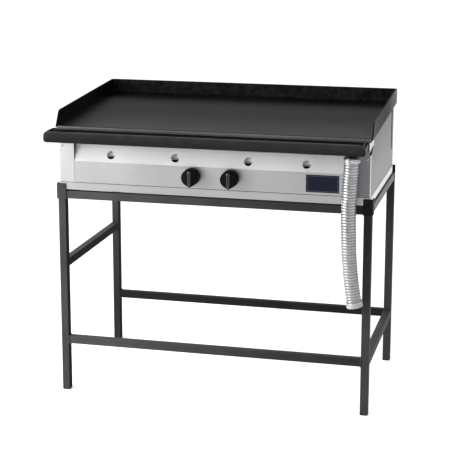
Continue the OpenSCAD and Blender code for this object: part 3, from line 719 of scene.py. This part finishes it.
def screw_tree(finish: Finish, slot_length: float = 1.1, slot_width: float = 0.22) -> NodeTree:
    """Builds the tree of pan-head screws with a cross recess.

    Args:
        finish: The screws' finish.
        slot_length: The recess's length as a share of the head's radius.
        slot_width: Its width, likewise.

    Returns:
        The tree, with the inputs Head radius and Head height.
    """
    tree, given = tree_group("pan_head_screws", {"Head radius": 0.004, "Head height": 0.002})
    radius, height = given["Head radius"], given["Head height"]
    ball = add(tree, "GeometryNodeMeshUVSphere", {"Segments": 24, "Rings": 12, "Radius": 1.0})
    size = add(tree, "ShaderNodeCombineXYZ", {"X": radius, "Y": radius, "Z": height})
    dome = add(tree, "GeometryNodeTransform", {"Geometry": ball, "Scale": size})
    long, thin = (add(tree, "ShaderNodeMath", {0: radius, 1: share}, operation="MULTIPLY")
                  for share in (slot_length, slot_width))
    box = add(tree, "ShaderNodeCombineXYZ", {"X": long, "Y": thin, "Z": height})
    bar = add(tree, "GeometryNodeMeshCube", {"Size": box})
    lift = add(tree, "ShaderNodeCombineXYZ", {"Z": height})
    cross = [add(tree, "GeometryNodeTransform", {
        "Geometry": bar, "Translation": lift, "Rotation": (0.0, 0.0, turn)})
        for turn in (0.0, math.pi / 2)]
    cut = add(tree, "GeometryNodeMeshBoolean", {"Mesh 1": dome, "Mesh 2": cross},
              operation="DIFFERENCE")
    return close_tree(tree, place_copies(tree, given["Geometry"], cut), finish)


def weld_tree(finish: Finish) -> NodeTree:
    """Builds the tree of weld beads: overlapping low scales with a seeded size change.

    Args:
        finish: The beads' finish.

    Returns:
        The tree, with the input Bead.
    """
    tree, given = tree_group("weld_beads", {"Bead": 0.003})
    ball = add(tree, "GeometryNodeMeshIcoSphere", {"Radius": 1.0, "Subdivisions": 2})
    vary = add(tree, "FunctionNodeRandomValue", {2: 0.85, 3: 1.15, "Seed": 11},
               data_type="FLOAT")
    size = add(tree, "ShaderNodeMath", {0: given["Bead"], 1: vary}, operation="MULTIPLY")
    return close_tree(tree, place_copies(tree, given["Geometry"], ball, size), finish)


def hose_tree(finish: Finish, steps: float = 10.0, sides: int = 32) -> NodeTree:
    """Builds the tree of a ribbed tube along a curve.

    Args:
        finish: The hose's finish.
        steps: Rings of faces in each rib.
        sides: Faces round the tube.

    Returns:
        The tree, with the inputs Radius, Rib height, Ribs and Wall.
    """
    tree, given = tree_group("ribbed_hose", {
        "Radius": 0.023, "Rib height": 0.0016, "Ribs": 52.0, "Wall": 0.001})
    count, turns = (add(tree, "ShaderNodeMath", {0: given["Ribs"], 1: each},
                        operation="MULTIPLY") for each in (steps, 2 * math.pi))
    line = add(tree, "GeometryNodeResampleCurve", {"Curve": given["Geometry"], "Count": count})
    along = add(tree, "GeometryNodeSplineParameter").outputs["Factor"]
    phase = add(tree, "ShaderNodeMath", {0: along, 1: turns}, operation="MULTIPLY")
    wave = add(tree, "ShaderNodeMath", {0: phase}, operation="COSINE")
    share = add(tree, "ShaderNodeMapRange", spread(wave, (-1.0, 1.0), (1.0, 0.0)))
    dip = add(tree, "ShaderNodeMath", {0: share, 1: given["Rib height"]}, operation="MULTIPLY")
    outer = add(tree, "ShaderNodeMath", {0: given["Radius"], 1: dip}, operation="SUBTRACT")
    inner = add(tree, "ShaderNodeMath", {0: outer, 1: given["Wall"]}, operation="SUBTRACT")
    marked = add(tree, "GeometryNodeStoreNamedAttribute", {
        "Geometry": line, "Name": "groove", "Value": share}, data_type="FLOAT", domain="POINT")
    skins = []
    for radius in (outer, inner):
        sized = add(tree, "GeometryNodeSetCurveRadius", {"Curve": marked, "Radius": radius})
        ring = add(tree, "GeometryNodeCurvePrimitiveCircle", {
            "Resolution": sides, "Radius": 1.0})
        skins.append(add(tree, "GeometryNodeCurveToMesh", {
            "Curve": sized, "Profile Curve": ring, "Scale": radius}))
    skins[1] = add(tree, "GeometryNodeFlipFaces", {"Mesh": skins[1]})
    both = add(tree, "GeometryNodeJoinGeometry", {"Geometry": skins})
    smooth = add(tree, "GeometryNodeSetShadeSmooth", {"Geometry": both})
    return close_tree(tree, smooth, finish)


# ---------------------------------------------------------------- sub-assemblies

# From the stand's middle and the legs' fronts to the frame's origin, in millimetres.
SHIFT = Vector((8.5, -247.6, 0.0))
SHARP = math.radians(40)  # only edges sharper than this are rounded


def spot(x: float, y: float, z: float) -> Vector:
    """Turns millimetres from the stand's middle, the legs' fronts and the floor into metres."""
    return (Vector((x, y, z)) + SHIFT) * MM


def fit(piece: Object, slot: str, *nodes: str, body: str = BODY) -> Object:
    """Puts a piece on its body and hides the CAD nodes that it stands for.

    Args:
        piece: The finished piece.
        slot: Not used.
        nodes: The CAD nodes that it replaces.
        body: The CAD body that it rides on.

    Returns:
        The piece.
    """
    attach(piece, body)
    if nodes:
        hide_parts(*nodes)
    log.info("made %s", piece.name)
    return piece


def eased(node: str, finish: Finish, width: float, slot: str = "", long: float = 0.0,
          segments: int = 2, smooth: float = 50.0) -> Object:
    """Replaces a CAD node with a copy whose sharp edges are rounded.

    Args:
        node: The CAD node.
        finish: The copy's finish.
        width: The rounding's width in metres.
        slot: The record's material slot.
        long: Only edges at least this long are rounded.
        segments: Faces across the rounding.
        smooth: Folds up to this many degrees are shaded as round.

    Returns:
        The finished piece.
    """
    shape = merged_copy(node)
    sharp = [edge for edge in shape.edges
             if len(edge.link_faces) == 2 and edge.calc_face_angle(0.0) > SHARP
             and edge.calc_length() >= long]
    bmesh.ops.bevel(shape, geom=sharp, offset=width, segments=segments, profile=0.5,
                    affect="EDGES", clamp_overlap=True)
    piece = to_piece(node + "_eased", shape, finish, smooth)
    weigh = piece.modifiers.new("flat_faces_stay_flat", "WEIGHTED_NORMAL")
    weigh.keep_sharp = True
    return fit(settle(piece), slot, node)


def carried(finish: Finish, *nodes: str) -> None:
    """Gives CAD nodes that stay as they are their finish.

    Args:
        finish: The finish.
        nodes: The CAD nodes.
    """
    for node in nodes:
        clothe(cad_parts[node], finish)
        log.info("finished %s", node)


def turned_ring(shape: BMesh, section: Outline, sides: int) -> None:
    """Turns a closed section of (radius, height) points round Z into a ring.

    Args:
        shape: The bmesh that takes it.
        section: The closed outline.
        sides: Faces round the ring.
    """
    loops = []
    for k in range(sides):
        a = 2 * math.pi * k / sides
        loops.append([shape.verts.new((r * math.cos(a), r * math.sin(a), z))
                      for r, z in section])
    for k in range(sides):
        here, there = loops[k], loops[(k + 1) % sides]
        for i in range(len(section)):
            j = (i + 1) % len(section)
            shape.faces.new((here[i], there[i], there[j], here[j]))
    bmesh.ops.recalc_face_normals(shape, faces=shape.faces)


@dataclass
class DrainHose:
    """The ribbed hose that hangs from the gutter's spout, with its clamp and end cuff."""

    top: Vector = field(default_factory=lambda: spot(440, -32.8, 819))
    radius: float = 0.023
    rib: float = 0.0016
    ribs: int = 52
    wall: float = 0.001
    easing: float = 0.0004  # rounding of the clamp's edges
    route: tuple[tuple[float, float], ...] = (  # steps to the right and up from the top
        (0, 0), (0, -0.021), (-0.001, -0.046), (-0.003, -0.076), (-0.004, -0.106),
        (-0.005, -0.136), (-0.006, -0.166), (-0.006, -0.196), (-0.005, -0.226),
        (-0.004, -0.256), (-0.003, -0.286), (-0.001, -0.316), (0.002, -0.346),
        (0.005, -0.376), (0.009, -0.406), (0.011, -0.416), (0.018, -0.456))
    rolled: tuple[Pair, ...] = (  # the cuff's section: out from the tube's radius, and up
        (-0.0035, 0.002), (-0.003, 0.0035), (0.0012, 0.0038), (0.0022, 0.0028),
        (0.0022, -0.0125), (0.0016, -0.0138), (0.0006, -0.0138), (0.0006, 0.0005),
        (-0.0035, 0.0005))

    def points(self) -> list[Vector]:
        """The route's points in the frame."""
        return [self.top + Vector((x, 0, z)) for x, z in self.route]

    def length(self) -> float:
        """The hose's length along its route."""
        path = self.points()
        return sum((b - a).length for a, b in zip(path, path[1:]))

    def tube(self) -> Object:
        """Sweeps the ribbed tube along the route and closes its two ends.

        Returns:
            The tube.
        """
        curve = bpy.data.curves.new("drain_hose_tube", "CURVE")
        curve.dimensions = "3D"
        line = curve.splines.new("POLY")
        path = self.points()
        line.points.add(len(path) - 1)
        for item, place in zip(line.points, path):
            item.co = (*place, 1.0)
        piece = grow(link_new("drain_hose_tube", curve), hose_tree(ALU), {
            "Radius": self.radius, "Rib height": self.rib, "Ribs": float(self.ribs),
            "Wall": self.wall})
        shape = bmesh.new()
        shape.from_mesh(piece.data)
        rims = [edge for edge in shape.edges if edge.is_boundary]
        for end in (path[0], path[-1]):
            near = [edge for edge in rims if (edge.verts[0].co - end).length < 0.03]
            bmesh.ops.bridge_loops(shape, edges=near)
        shape.to_mesh(piece.data)
        shape.free()
        return piece

    def cuff(self) -> Object:
        """Turns the rolled cuff on the hose's free end.

        Returns:
            The cuff.
        """
        path = self.points()
        along = (path[-1] - path[-2]).normalized()
        shape = bmesh.new()
        turned_ring(shape, [(self.radius + out, up) for out, up in self.rolled], sides=48)
        turn = along.to_track_quat("Z", "Y").to_matrix().to_4x4()
        bmesh.ops.transform(shape, matrix=Matrix.Translation(path[-1]) @ turn,
                            verts=shape.verts)
        return to_piece("drain_hose_cuff", shape, ALU, 40.0)

    def build(self) -> None:
        tube = fit(self.tube(), "aluminium", "drain_hose")
        cuff = fit(self.cuff(), "aluminium", "hose_end_cuff")
        band = eased("hose_clamp_band", CLAMP, self.easing)
        screw = eased("hose_clamp_screw", ZINC, self.easing)
        log.info("hose is %.3f m long", self.length())


@dataclass
class Stand:
    """The welded stand of square tube, with its stops, caps, screws and welds."""

    corner: float = 0.0022  # outer corner radius of drawn square tube
    half_w: float = 500.0
    depth: float = 558.0
    tube: float = 25.0
    rails: Pair = (158.0, 639.0)  # the undersides of the low and the upper rails
    short: float = 3.0  # a bead ends this far before the tube's corner
    bead: float = 0.0026
    step: float = 0.0021  # from one scale of a bead to the next
    stop_edge: float = 0.0007
    cap_edge: float = 0.0006

    def tubes(self) -> list[str]:
        """The nodes made of square tube."""
        kinds = ("leg_", "top_rail", "bottom_rail", "low_side", "mid_side")
        return [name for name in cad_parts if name.startswith(kinds)]

    def weld_lines(self) -> list[tuple[Vector, Vector, Vector]]:
        """Finds the welds on the tubes' joints.

        Returns:
            Start, end and facing direction of each weld.
        """
        lines = []
        for side in Side:
            x = side.value * (self.half_w - self.tube)
            for low in self.rails:
                high = low + self.tube
                for y0, outward in ((0.0, -1), (self.depth - self.tube, 1)):
                    edge = 0.0 if outward < 0 else self.depth
                    lines.append((spot(x, edge, low + self.short),
                                  spot(x, edge, high - self.short),
                                  Vector((-side.value, outward, 0)).normalized()))
                    for z, up in ((low, -1), (high, 1)):
                        lines.append((spot(x, y0 + self.short, z),
                                      spot(x, y0 + self.tube - self.short, z),
                                      Vector((-side.value, 0, up)).normalized()))
        return lines

    def welds(self) -> Object:
        """Lays beads along the weld lines.

        Returns:
            The beads, as one piece.
        """
        places = []
        for start, end, face in self.weld_lines():
            count = max(3, round((end - start).length / self.step))
            places += [(start.lerp(end, i / (count - 1)), face) for i in range(count)]
        return grow(points_object("weld_beads", places), weld_tree(COAT), {"Bead": self.bead})

    def screws(self) -> Object:
        """Makes the heads of the screws through the front stops.

        Returns:
            The heads, as one piece.
        """
        places = [(spot(side.value * 481, -3.0, 678.95), (0, -1, 0)) for side in Side]
        return grow(points_object("stop_screw_heads", places), screw_tree(COAT),
                    {"Head radius": 0.0046, "Head height": 0.0022})

    def build(self) -> None:
        """Dresses the tubes and stops and adds welds and screws."""
        coats = {"top_rail_right": RUBBED_COAT, "top_rail_front": RAIL_SHADE_COAT,
                 "bottom_rail_front": RAIL_SHADE_COAT,
                 "bottom_rail_rear": SHADED_COAT, "leg_rear_left": FOOT_SHADE_COAT}
        for node in self.tubes():
            piece = eased(node, coats.get(node, COAT), self.corner, "stand_black",
                          long=0.1, segments=3)
            if node.endswith("left"):  # painted shade: the faces that turn away from the lamps get a darker coat
                repaint(piece, SHADED_SIDE_COAT, lambda face: face.normal.x > 0.5)
        for stop in ("corner_stop_front_", "rear_stop_"):
            # The right-hand stops get the darker coat: painted shade.
            for side, coat in ((Side.LEFT, COAT), (Side.RIGHT, SHADED_STOP_COAT)):
                eased(stop + side.word, coat, self.stop_edge, "stand_black")
        eased("foot_caps", CAP, self.cap_edge, "plastic_black")
        carried(PAD, "body_pads")
        fit(self.welds(), "stand_black")
        fit(self.screws(), "fastener_black", "stop_screws")


@dataclass
class BurnerBox:
    """The stainless box: strips, panels, baffle, badge and screws."""

    panel_edge: float = 0.0004
    post_edge: float = 0.0009
    strip_edge: float = 0.0005
    badge_edge: float = 0.0003
    fold_length: float = 0.02  # shorter edges belong to holes and stay sharp
    crisp_fold: float = 12.0  # degrees: the panel's fold shows as a clear line
    wide_face: float = 0.0002  # square metres: a hole's wall is smaller
    post_depth: float = 0.004  # from the sheet's front, the post's face ends here
    bend_depth: float = 0.002  # and the bend at its corner here
    tab_depth: float = 0.05
    tab_low: float = 0.815
    tongue: float = 0.6925  # above it a base strip has only its tongue

    def tab_or_bend(self, face: MeshPolygon, front: float) -> bool:
        """Says whether a face lies on the bent tab or the bend at the post's corner.

        Args:
            face: The face.
            front: The sheet's front in Y.

        Returns:
            True for a face that gets the painted highlight.
        """
        y, tilt = face.center.y, -face.normal.y
        tab = 0.05 < abs(tilt) < 0.4 and y < front + self.tab_depth
        bend = 0.3 < tilt < 0.95 and y < front + self.bend_depth and abs(face.normal.z) < 0.1
        return bend or (tab and face.center.z > self.tab_low)

    def side_with_post(self, side: Side) -> None:
        """Dresses a bent side sheet, its post face with a copy of the steel whose tone paints
        light on the left post and shade on the right one.

        Args:
            side: The box's side.
        """
        name = "side_panel_" + side.word
        piece = eased(name, SHEETS[side], self.post_edge, "stainless",
                      long=self.fold_length, smooth=self.crisp_fold)
        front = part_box(name)[0].y
        repaint(piece, POSTS[side], lambda face: (
            face.center.y < front + self.post_depth and abs(face.normal.y) > 0.5))
        self.darken_inside(piece)
        # The bent tab and the bend at the post's corner get the painted highlight.
        repaint(piece, HIGHLIGHT_STEEL, lambda face: self.tab_or_bend(face, front))

    def darken_inside(self, piece: Object) -> None:
        """Gives the faces that look at the middle of the box the dark finish: heat dulling, and
        painted shade inside the closed box.

        Args:
            piece: A panel.
        """
        middle = spot(0, 260, 0)
        repaint(piece, HEAT_AND_SHADE_INSIDE, lambda face: (
            face.normal.xy.dot((face.center - middle).xy) < -0.02
            and face.area > self.wide_face))

    def screws(self) -> Object:
        """Makes the heads of the posts' and sides' screws.

        Returns:
            The heads, as one piece.
        """
        places = []
        for side in Side:
            places.append((spot(side.value * 483, 0.5, 809), (0, -1, 0)))
            places += [(spot(side.value * 495, y, 698.5), (side.value, 0, 0))
                       for y in (70, 450.5)]
        return grow(points_object("panel_screw_heads", places), screw_tree(ZINC),
                    {"Head radius": 0.0038, "Head height": 0.0017})

    def build(self) -> None:
        """Dresses the box."""
        for side in Side:
            self.side_with_post(side)
        for end, steel in (("front", STEEL_X), ("rear", STEEL_X),
                           ("left", LIT_STEEL_Y), ("right", LIT_STEEL_Y)):
            strip = eased("base_strip_" + end, steel, self.strip_edge, "stainless")
            # The tongue above the joint is painted dark: painted shade in the gap.
            repaint(strip, GAP_SHADE, lambda face: face.center.z > self.tongue)
        for node in ("front_panel", "rear_panel"):
            panel = eased(node, STEEL_X, self.panel_edge, "stainless",
                          long=self.fold_length, smooth=self.crisp_fold)
            repaint(panel, BAND,
                    lambda face: face.normal.y < -0.9 and face.normal.z > 0.2)
            self.darken_inside(panel)
        carried(LIT_BAFFLE_STEEL, "front_baffle")
        eased("badge_plate", BADGE, self.badge_edge, "badge_navy")
        fit(self.screws(), "fastener_steel", "panel_screws")


@dataclass
class GriddleTop:
    """The cooking plate with its guards and stiffening bars."""

    plate_edge: float = 0.001
    guard_edge: float = 0.0009

    def build(self) -> None:
        """Dresses the plate."""
        plate = eased("griddle_plate", PLATE, self.plate_edge, "seasoned_steel")
        # The front-facing faces get the lighter lip: painted light.
        repaint(plate, LIT_LIP, lambda face: face.normal.y < -0.45)
        for node, steel in (("rear_guard", GUARD),
                            ("side_guard_left", PLATE),
                            ("side_guard_right", PLATE)):
            eased(node, steel, self.guard_edge, "seasoned_steel")
        carried(PLATE, "plate_stiffeners")


@dataclass
class Gutter:
    """The folded drip gutter with its ends, hooks and spout."""

    corners: Pair = (0.012, 0.021)  # the front wall's upper corners, left and right
    front_height: float = 0.036
    front_depth: float = 0.02
    steps: int = 6
    edge: float = 0.0005

    def round_corners(self, piece: Object) -> None:
        """Lowers what stands above the arcs at the gutter's two upper corners.

        Args:
            piece: The trough or one of its ends.
        """
        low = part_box("gutter_trough")[0]
        front, top = low.y + self.front_depth, low.z + self.front_height
        ends = (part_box("gutter_end_left")[0].x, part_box("gutter_end_right")[1].x)
        shape = bmesh.new()
        shape.from_mesh(piece.data)
        for end, inward, r in zip(ends, (1, -1), self.corners):
            for k in range(self.steps + 1):
                x = end + inward * r * (1 - math.cos(math.pi / 2 * k / self.steps))
                whole = shape.verts[:] + shape.edges[:] + shape.faces[:]
                bmesh.ops.bisect_plane(shape, geom=whole, plane_co=(x, 0, 0),
                                       plane_no=(1, 0, 0), dist=1e-6)
            for vert in shape.verts:
                out = r - (vert.co.x - end) * inward
                if out > 0.0 and vert.co.y < front:
                    arc = top - r + math.sqrt(max(r * r - out * out, 0.0))
                    vert.co.z = min(vert.co.z, arc)
        shape.to_mesh(piece.data)
        shape.free()

    def build(self) -> None:
        """Dresses the gutter."""
        for node in ("gutter_trough", "gutter_end_left", "gutter_end_right", "gutter_hooks",
                     "drain_spout"):
            piece = eased(node, ENAMEL, self.edge, "gutter_black")
            if node.startswith(("gutter_trough", "gutter_end")):
                self.round_corners(piece)


@dataclass
class Knob:
    """A gas tap's knob: a drop-shaped body with a pointer below and a raised grip."""

    side: Side
    axis_x: float
    radius: float = 27.0
    tip: float = 31.0
    tip_radius: float = 3.0
    back: float = -4.0
    depth: float = 32.0
    axis_z: float = 732.0
    round_steps: int = 59  # points round the body
    tip_steps: int = 13  # and round its pointer, and the grip's top
    back_rings: tuple[Pair, ...] = ((0.0, -1.5), (-1.0, -0.3), (-3.0, 0.0))
    face_rings: tuple[Pair, ...] = ((5.0, -0.6), (2.2, -0.9), (0.8, -1.8), (0.0, -3.2))
    grip_rings: tuple[tuple[float, float, float, float], ...] = (
        (1.0, 6.6, 2.5, 3.5), (-2.6, 6.0, 3.2, 4.6), (-3.8, 5.2, 4.0, 5.6),
        (-4.6, 4.0, 5.0, 6.8), (-5.0, 2.4, 6.4, 8.4))

    def drop(self, grown: float) -> Outline:
        """Draws the drop, from its pointer round to its pointer.

        Args:
            grown: Millimetres that the outline lies outside the drop's own.

        Returns:
            The outline.
        """
        reach = self.tip - self.tip_radius
        lean = math.acos((self.radius - self.tip_radius) / reach)
        r, t = self.radius + grown, self.tip_radius + grown
        outline = []
        for i in range(self.round_steps):
            a = (-math.pi / 2 + lean
                 + (2 * math.pi - 2 * lean) * i / (self.round_steps - 1))
            outline.append((r * math.cos(a), r * math.sin(a)))
        for i in range(self.tip_steps):
            a = -math.pi / 2 - lean + 2 * lean * i / (self.tip_steps - 1)
            outline.append((t * math.cos(a), -reach + t * math.sin(a)))
        return outline

    def grip(self, width: float, lower: float, upper: float) -> Outline:
        """Draws the raised grip with a round top and a blunt lower end.

        Args:
            width: Half its width.
            lower: The height of its lower end.
            upper: The height of its top.

        Returns:
            The outline.
        """
        outline = []
        for i in range(self.tip_steps):
            a = math.pi * i / (self.tip_steps - 1)
            outline.append((width * math.cos(a), upper - width + width * math.sin(a)))
        return outline + [(-width * 0.9, lower + 10), (-width * 0.45, lower),
                          (width * 0.45, lower), (width * 0.9, lower + 10)]

    def loft(self, shape: BMesh, sections: Iterable[tuple[float, Outline]]) -> None:
        """Joins outlines at several depths into a closed form.

        Args:
            shape: The bmesh that takes it.
            sections: Depths in millimetres with their outlines, all of one count.
        """
        loops = [[shape.verts.new(spot(self.axis_x + x, y, self.axis_z + z))
                  for x, z in outline] for y, outline in sections]
        count = len(loops[0])
        for here, there in zip(loops, loops[1:]):
            for i in range(count):
                j = (i + 1) % count
                shape.faces.new((here[i], here[j], there[j], there[i]))
        shape.faces.new(loops[0])
        shape.faces.new(list(reversed(loops[-1])))

    def build(self) -> None:
        """Makes the knob and puts it on its spindle's body."""
        shape = bmesh.new()
        face = self.back - self.depth
        self.loft(shape, [(start + step, self.drop(grown))
                          for start, rings in ((self.back, self.back_rings),
                                               (face, self.face_rings))
                          for step, grown in rings])
        self.loft(shape, [(face + step, self.grip(width, low - self.tip, self.radius - high))
                          for step, width, low, high in self.grip_rings])
        bmesh.ops.recalc_face_normals(shape, faces=shape.faces)
        piece = to_piece(f"knob_{self.side.word}_moulded", shape, KNOB, 38.0)
        wall_starts = spot(0, face - 0.2, 0).y
        # The wall gets the matte finish whose lighter tone is painted light.
        repaint(piece, KNOB_WALL_LIT, lambda polygon: polygon.center.y > wall_starts)
        fit(piece, "knob_black", "knob_" + self.side.word, body=self.side.word + "_knob_unit")


@dataclass
class GasTrain:
    """Manifold, valves, injectors and burners inside the box."""

    tail_edge: float = 0.0004
    tube_edge: float = 0.0002
    knobs_x: Pair = (-60.0, 63.0)

    def build(self) -> None:
        """Dresses the gas parts."""
        carried(PIPE, "gas_manifold", "manifold_brackets")
        carried(BRASS, "valve_body_left", "valve_body_right", "injectors")
        carried(ZINC, "push_collar_left", "push_collar_right", "valve_spindle_left",
                "valve_spindle_right")
        eased("gas_inlet_tail", BRASS, self.tail_edge, "brass")
        carried(BURNER, "burner_support_front", "burner_support_rear")
        for side in Side:
            eased("burner_" + side.word, BURNER, self.tube_edge, "burner_steel")
        for side, x in zip(Side, self.knobs_x):
            Knob(side, x).build()


# ---------------------------------------------------------------- stage


@dataclass(frozen=True)
class Lamp:
    """A soft square lamp that points at a place."""

    name: str
    place: Point
    aim: Point
    size: float
    power: float

    def hang(self) -> None:
        """Adds the lamp to the scene."""
        data = bpy.data.lights.new(self.name, "AREA")
        data.size, data.energy = self.size, self.power
        made = link_new(self.name, data)
        made.rotation_mode = "QUATERNION"
        made.rotation_quaternion = (Vector(self.place) - Vector(self.aim)).to_track_quat("Z", "Y")
        made.location = self.place


@dataclass
class Studio:
    """Floor, light and camera."""

    place: Point = (1.066114, -4.362759, 1.618228)
    right: Point = (0.9709999577, 0.2390790779, 0.0005259758)
    down: Point = (0.0498043200, -0.2001234210, -0.9785040350)
    ahead: Point = (-0.2338345820, 0.9501535720, -0.2062270040)
    lens: float = 112.839
    rise: float = -0.1  # the photograph is cut from the lower part of a taller frame
    sensor: float = 36.0
    clip: Pair = (0.1, 200.0)
    floor_half: float = 30.0
    floor_tone: float = 0.8
    floor_glow: float = 0.62
    floor_mirrored: float = 0.95
    painted_dark_spot: Point = (-0.25, -3.3, 0.0)  # in reflections only, the floor is darker round this spot: a painted dark reflection
    painted_dark_reach: Pair = (0.3, 1.7)  # metres from full darkening to none
    painted_dark_mirrored: float = 0.12
    sky: float = 0.55
    dark_side: Point = (-0.26, -0.96, 0.1)  # the unlit end of the studio
    dark_low: Point = (1.0, 1.0, 0.9)  # it is wide but low
    dark_reach: Pair = (34.0, 12.0)  # degrees from its middle, from no darkening to full
    dark_mirrored: float = 0.04
    lamps: tuple[Lamp, ...] = (
        Lamp("key", (-2.9, -1.9, 2.4), (0, -0.2, 0.6), 3.0, 165.0),
        Lamp("low", (-2.5, -2.1, 1.05), (0, 0, 0.75), 1.0, 38.0),
        Lamp("fill", (4.0, -0.8, 2.0), (0, 0, 0.5), 2.4, 8.0))

    def camera(self) -> None:
        """Sets the camera where the photograph was taken from."""
        data = bpy.data.cameras.new("photograph")
        data.lens, data.sensor_width, data.sensor_fit = self.lens, self.sensor, "HORIZONTAL"
        data.shift_y = self.rise
        data.clip_start, data.clip_end = self.clip
        made = link_new("photograph", data)
        axes = (Vector(self.right), -Vector(self.down), -Vector(self.ahead))
        turn = Matrix(axes).transposed().to_4x4()
        made.matrix_world = Matrix.Translation(Vector(self.place)) @ turn
        bpy.context.scene.camera = made

    def by_ray(self, tree: NodeTree, light: Node, mirrored: Node, seen: Node) -> Node:
        """Picks a shader by the kind of ray that meets it.

        Args:
            tree: The material's or the world's tree.
            light: The shader that lights the scene.
            mirrored: What glossy and transmission rays see.
            seen: What the camera sees.

        Returns:
            The mixed shader.
        """
        ray = add(tree, "ShaderNodeLightPath").outputs
        shiny = add(tree, "ShaderNodeMath", {
            0: ray["Is Glossy Ray"], 1: ray["Is Transmission Ray"]}, operation="MAXIMUM")
        unseen = add(tree, "ShaderNodeMixShader", {0: shiny, 1: light, 2: mirrored})
        return add(tree, "ShaderNodeMixShader", {0: ray["Is Camera Ray"], 1: unseen, 2: seen})

    def floor(self) -> None:
        """Lays the pale floor, which looks white but keeps the shadow."""
        h = self.floor_half
        mesh = bpy.data.meshes.new("floor")
        mesh.from_pydata([(-h, -h, 0), (h, -h, 0), (h, h, 0), (-h, h, 0)], [], [(0, 1, 2, 3)])
        ground = link_new("floor", mesh)
        material, tree, shader, place = shade("pale_floor")
        tree.nodes.remove(shader)
        matt = add(tree, "ShaderNodeBsdfDiffuse", {"Color": (*[self.floor_tone] * 3, 1.0)})
        glow = add(tree, "ShaderNodeEmission", {"Strength": self.floor_glow})
        both = add(tree, "ShaderNodeAddShader", {0: matt, 1: glow})
        # Painted reflection: what glossy rays see of the floor darkens round one spot.
        away = add(tree, "ShaderNodeVectorMath", {0: place, 1: self.painted_dark_spot},
                   operation="DISTANCE")
        tone = add(tree, "ShaderNodeMapRange", spread(
            away, self.painted_dark_reach, (self.painted_dark_mirrored, self.floor_mirrored)),
            interpolation_type="SMOOTHSTEP")
        white = add(tree, "ShaderNodeEmission", {"Strength": tone})
        feed(tree, tree.nodes["Material Output"], {
            "Surface": self.by_ray(tree, matt, white, both)})
        mesh.materials.append(material)

    def world(self) -> None:
        """Sets the sky: white where it is seen, softer as light."""
        world = bpy.data.worlds.new("studio")
        bpy.context.scene.world = world
        world.use_nodes = True
        tree = world.node_tree
        tree.nodes.clear()
        way = add(tree, "ShaderNodeTexCoord").outputs["Generated"]
        low = add(tree, "ShaderNodeVectorMath", {0: way, 1: self.dark_low},
                  operation="MULTIPLY")
        level = add(tree, "ShaderNodeVectorMath", {0: low}, operation="NORMALIZE")
        facing = add(tree, "ShaderNodeVectorMath", {0: level, 1: self.dark_side},
                     operation="DOT_PRODUCT")
        reach = tuple(math.cos(math.radians(angle)) for angle in self.dark_reach)
        dim = add(tree, "ShaderNodeMapRange", spread(facing, reach, (1.0, self.dark_mirrored)),
                  interpolation_type="SMOOTHSTEP")
        soft, mirrored, seen = (add(tree, "ShaderNodeBackground", {
            "Color": (1.0, 1.0, 1.0, 1.0), "Strength": strength})
            for strength in (self.sky, dim, 1.0))
        add(tree, "ShaderNodeOutputWorld", {
            "Surface": self.by_ray(tree, soft, mirrored, seen)})

    def build(self) -> None:
        """Sets the whole stage."""
        self.camera()
        self.floor()
        self.world()
        for lamp in self.lamps:
            lamp.hang()
        bpy.context.scene.view_settings.view_transform = "Standard"


def main() -> None:
    """Builds the griddle's looks in order."""
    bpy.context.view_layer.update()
    Studio().build()
    for part in (DrainHose(), Stand(), BurnerBox(), GriddleTop(), Gutter(), GasTrain()):
        part.build()
        log.info("finished %s", type(part).__name__)


if __name__ == "__main__":
    main()
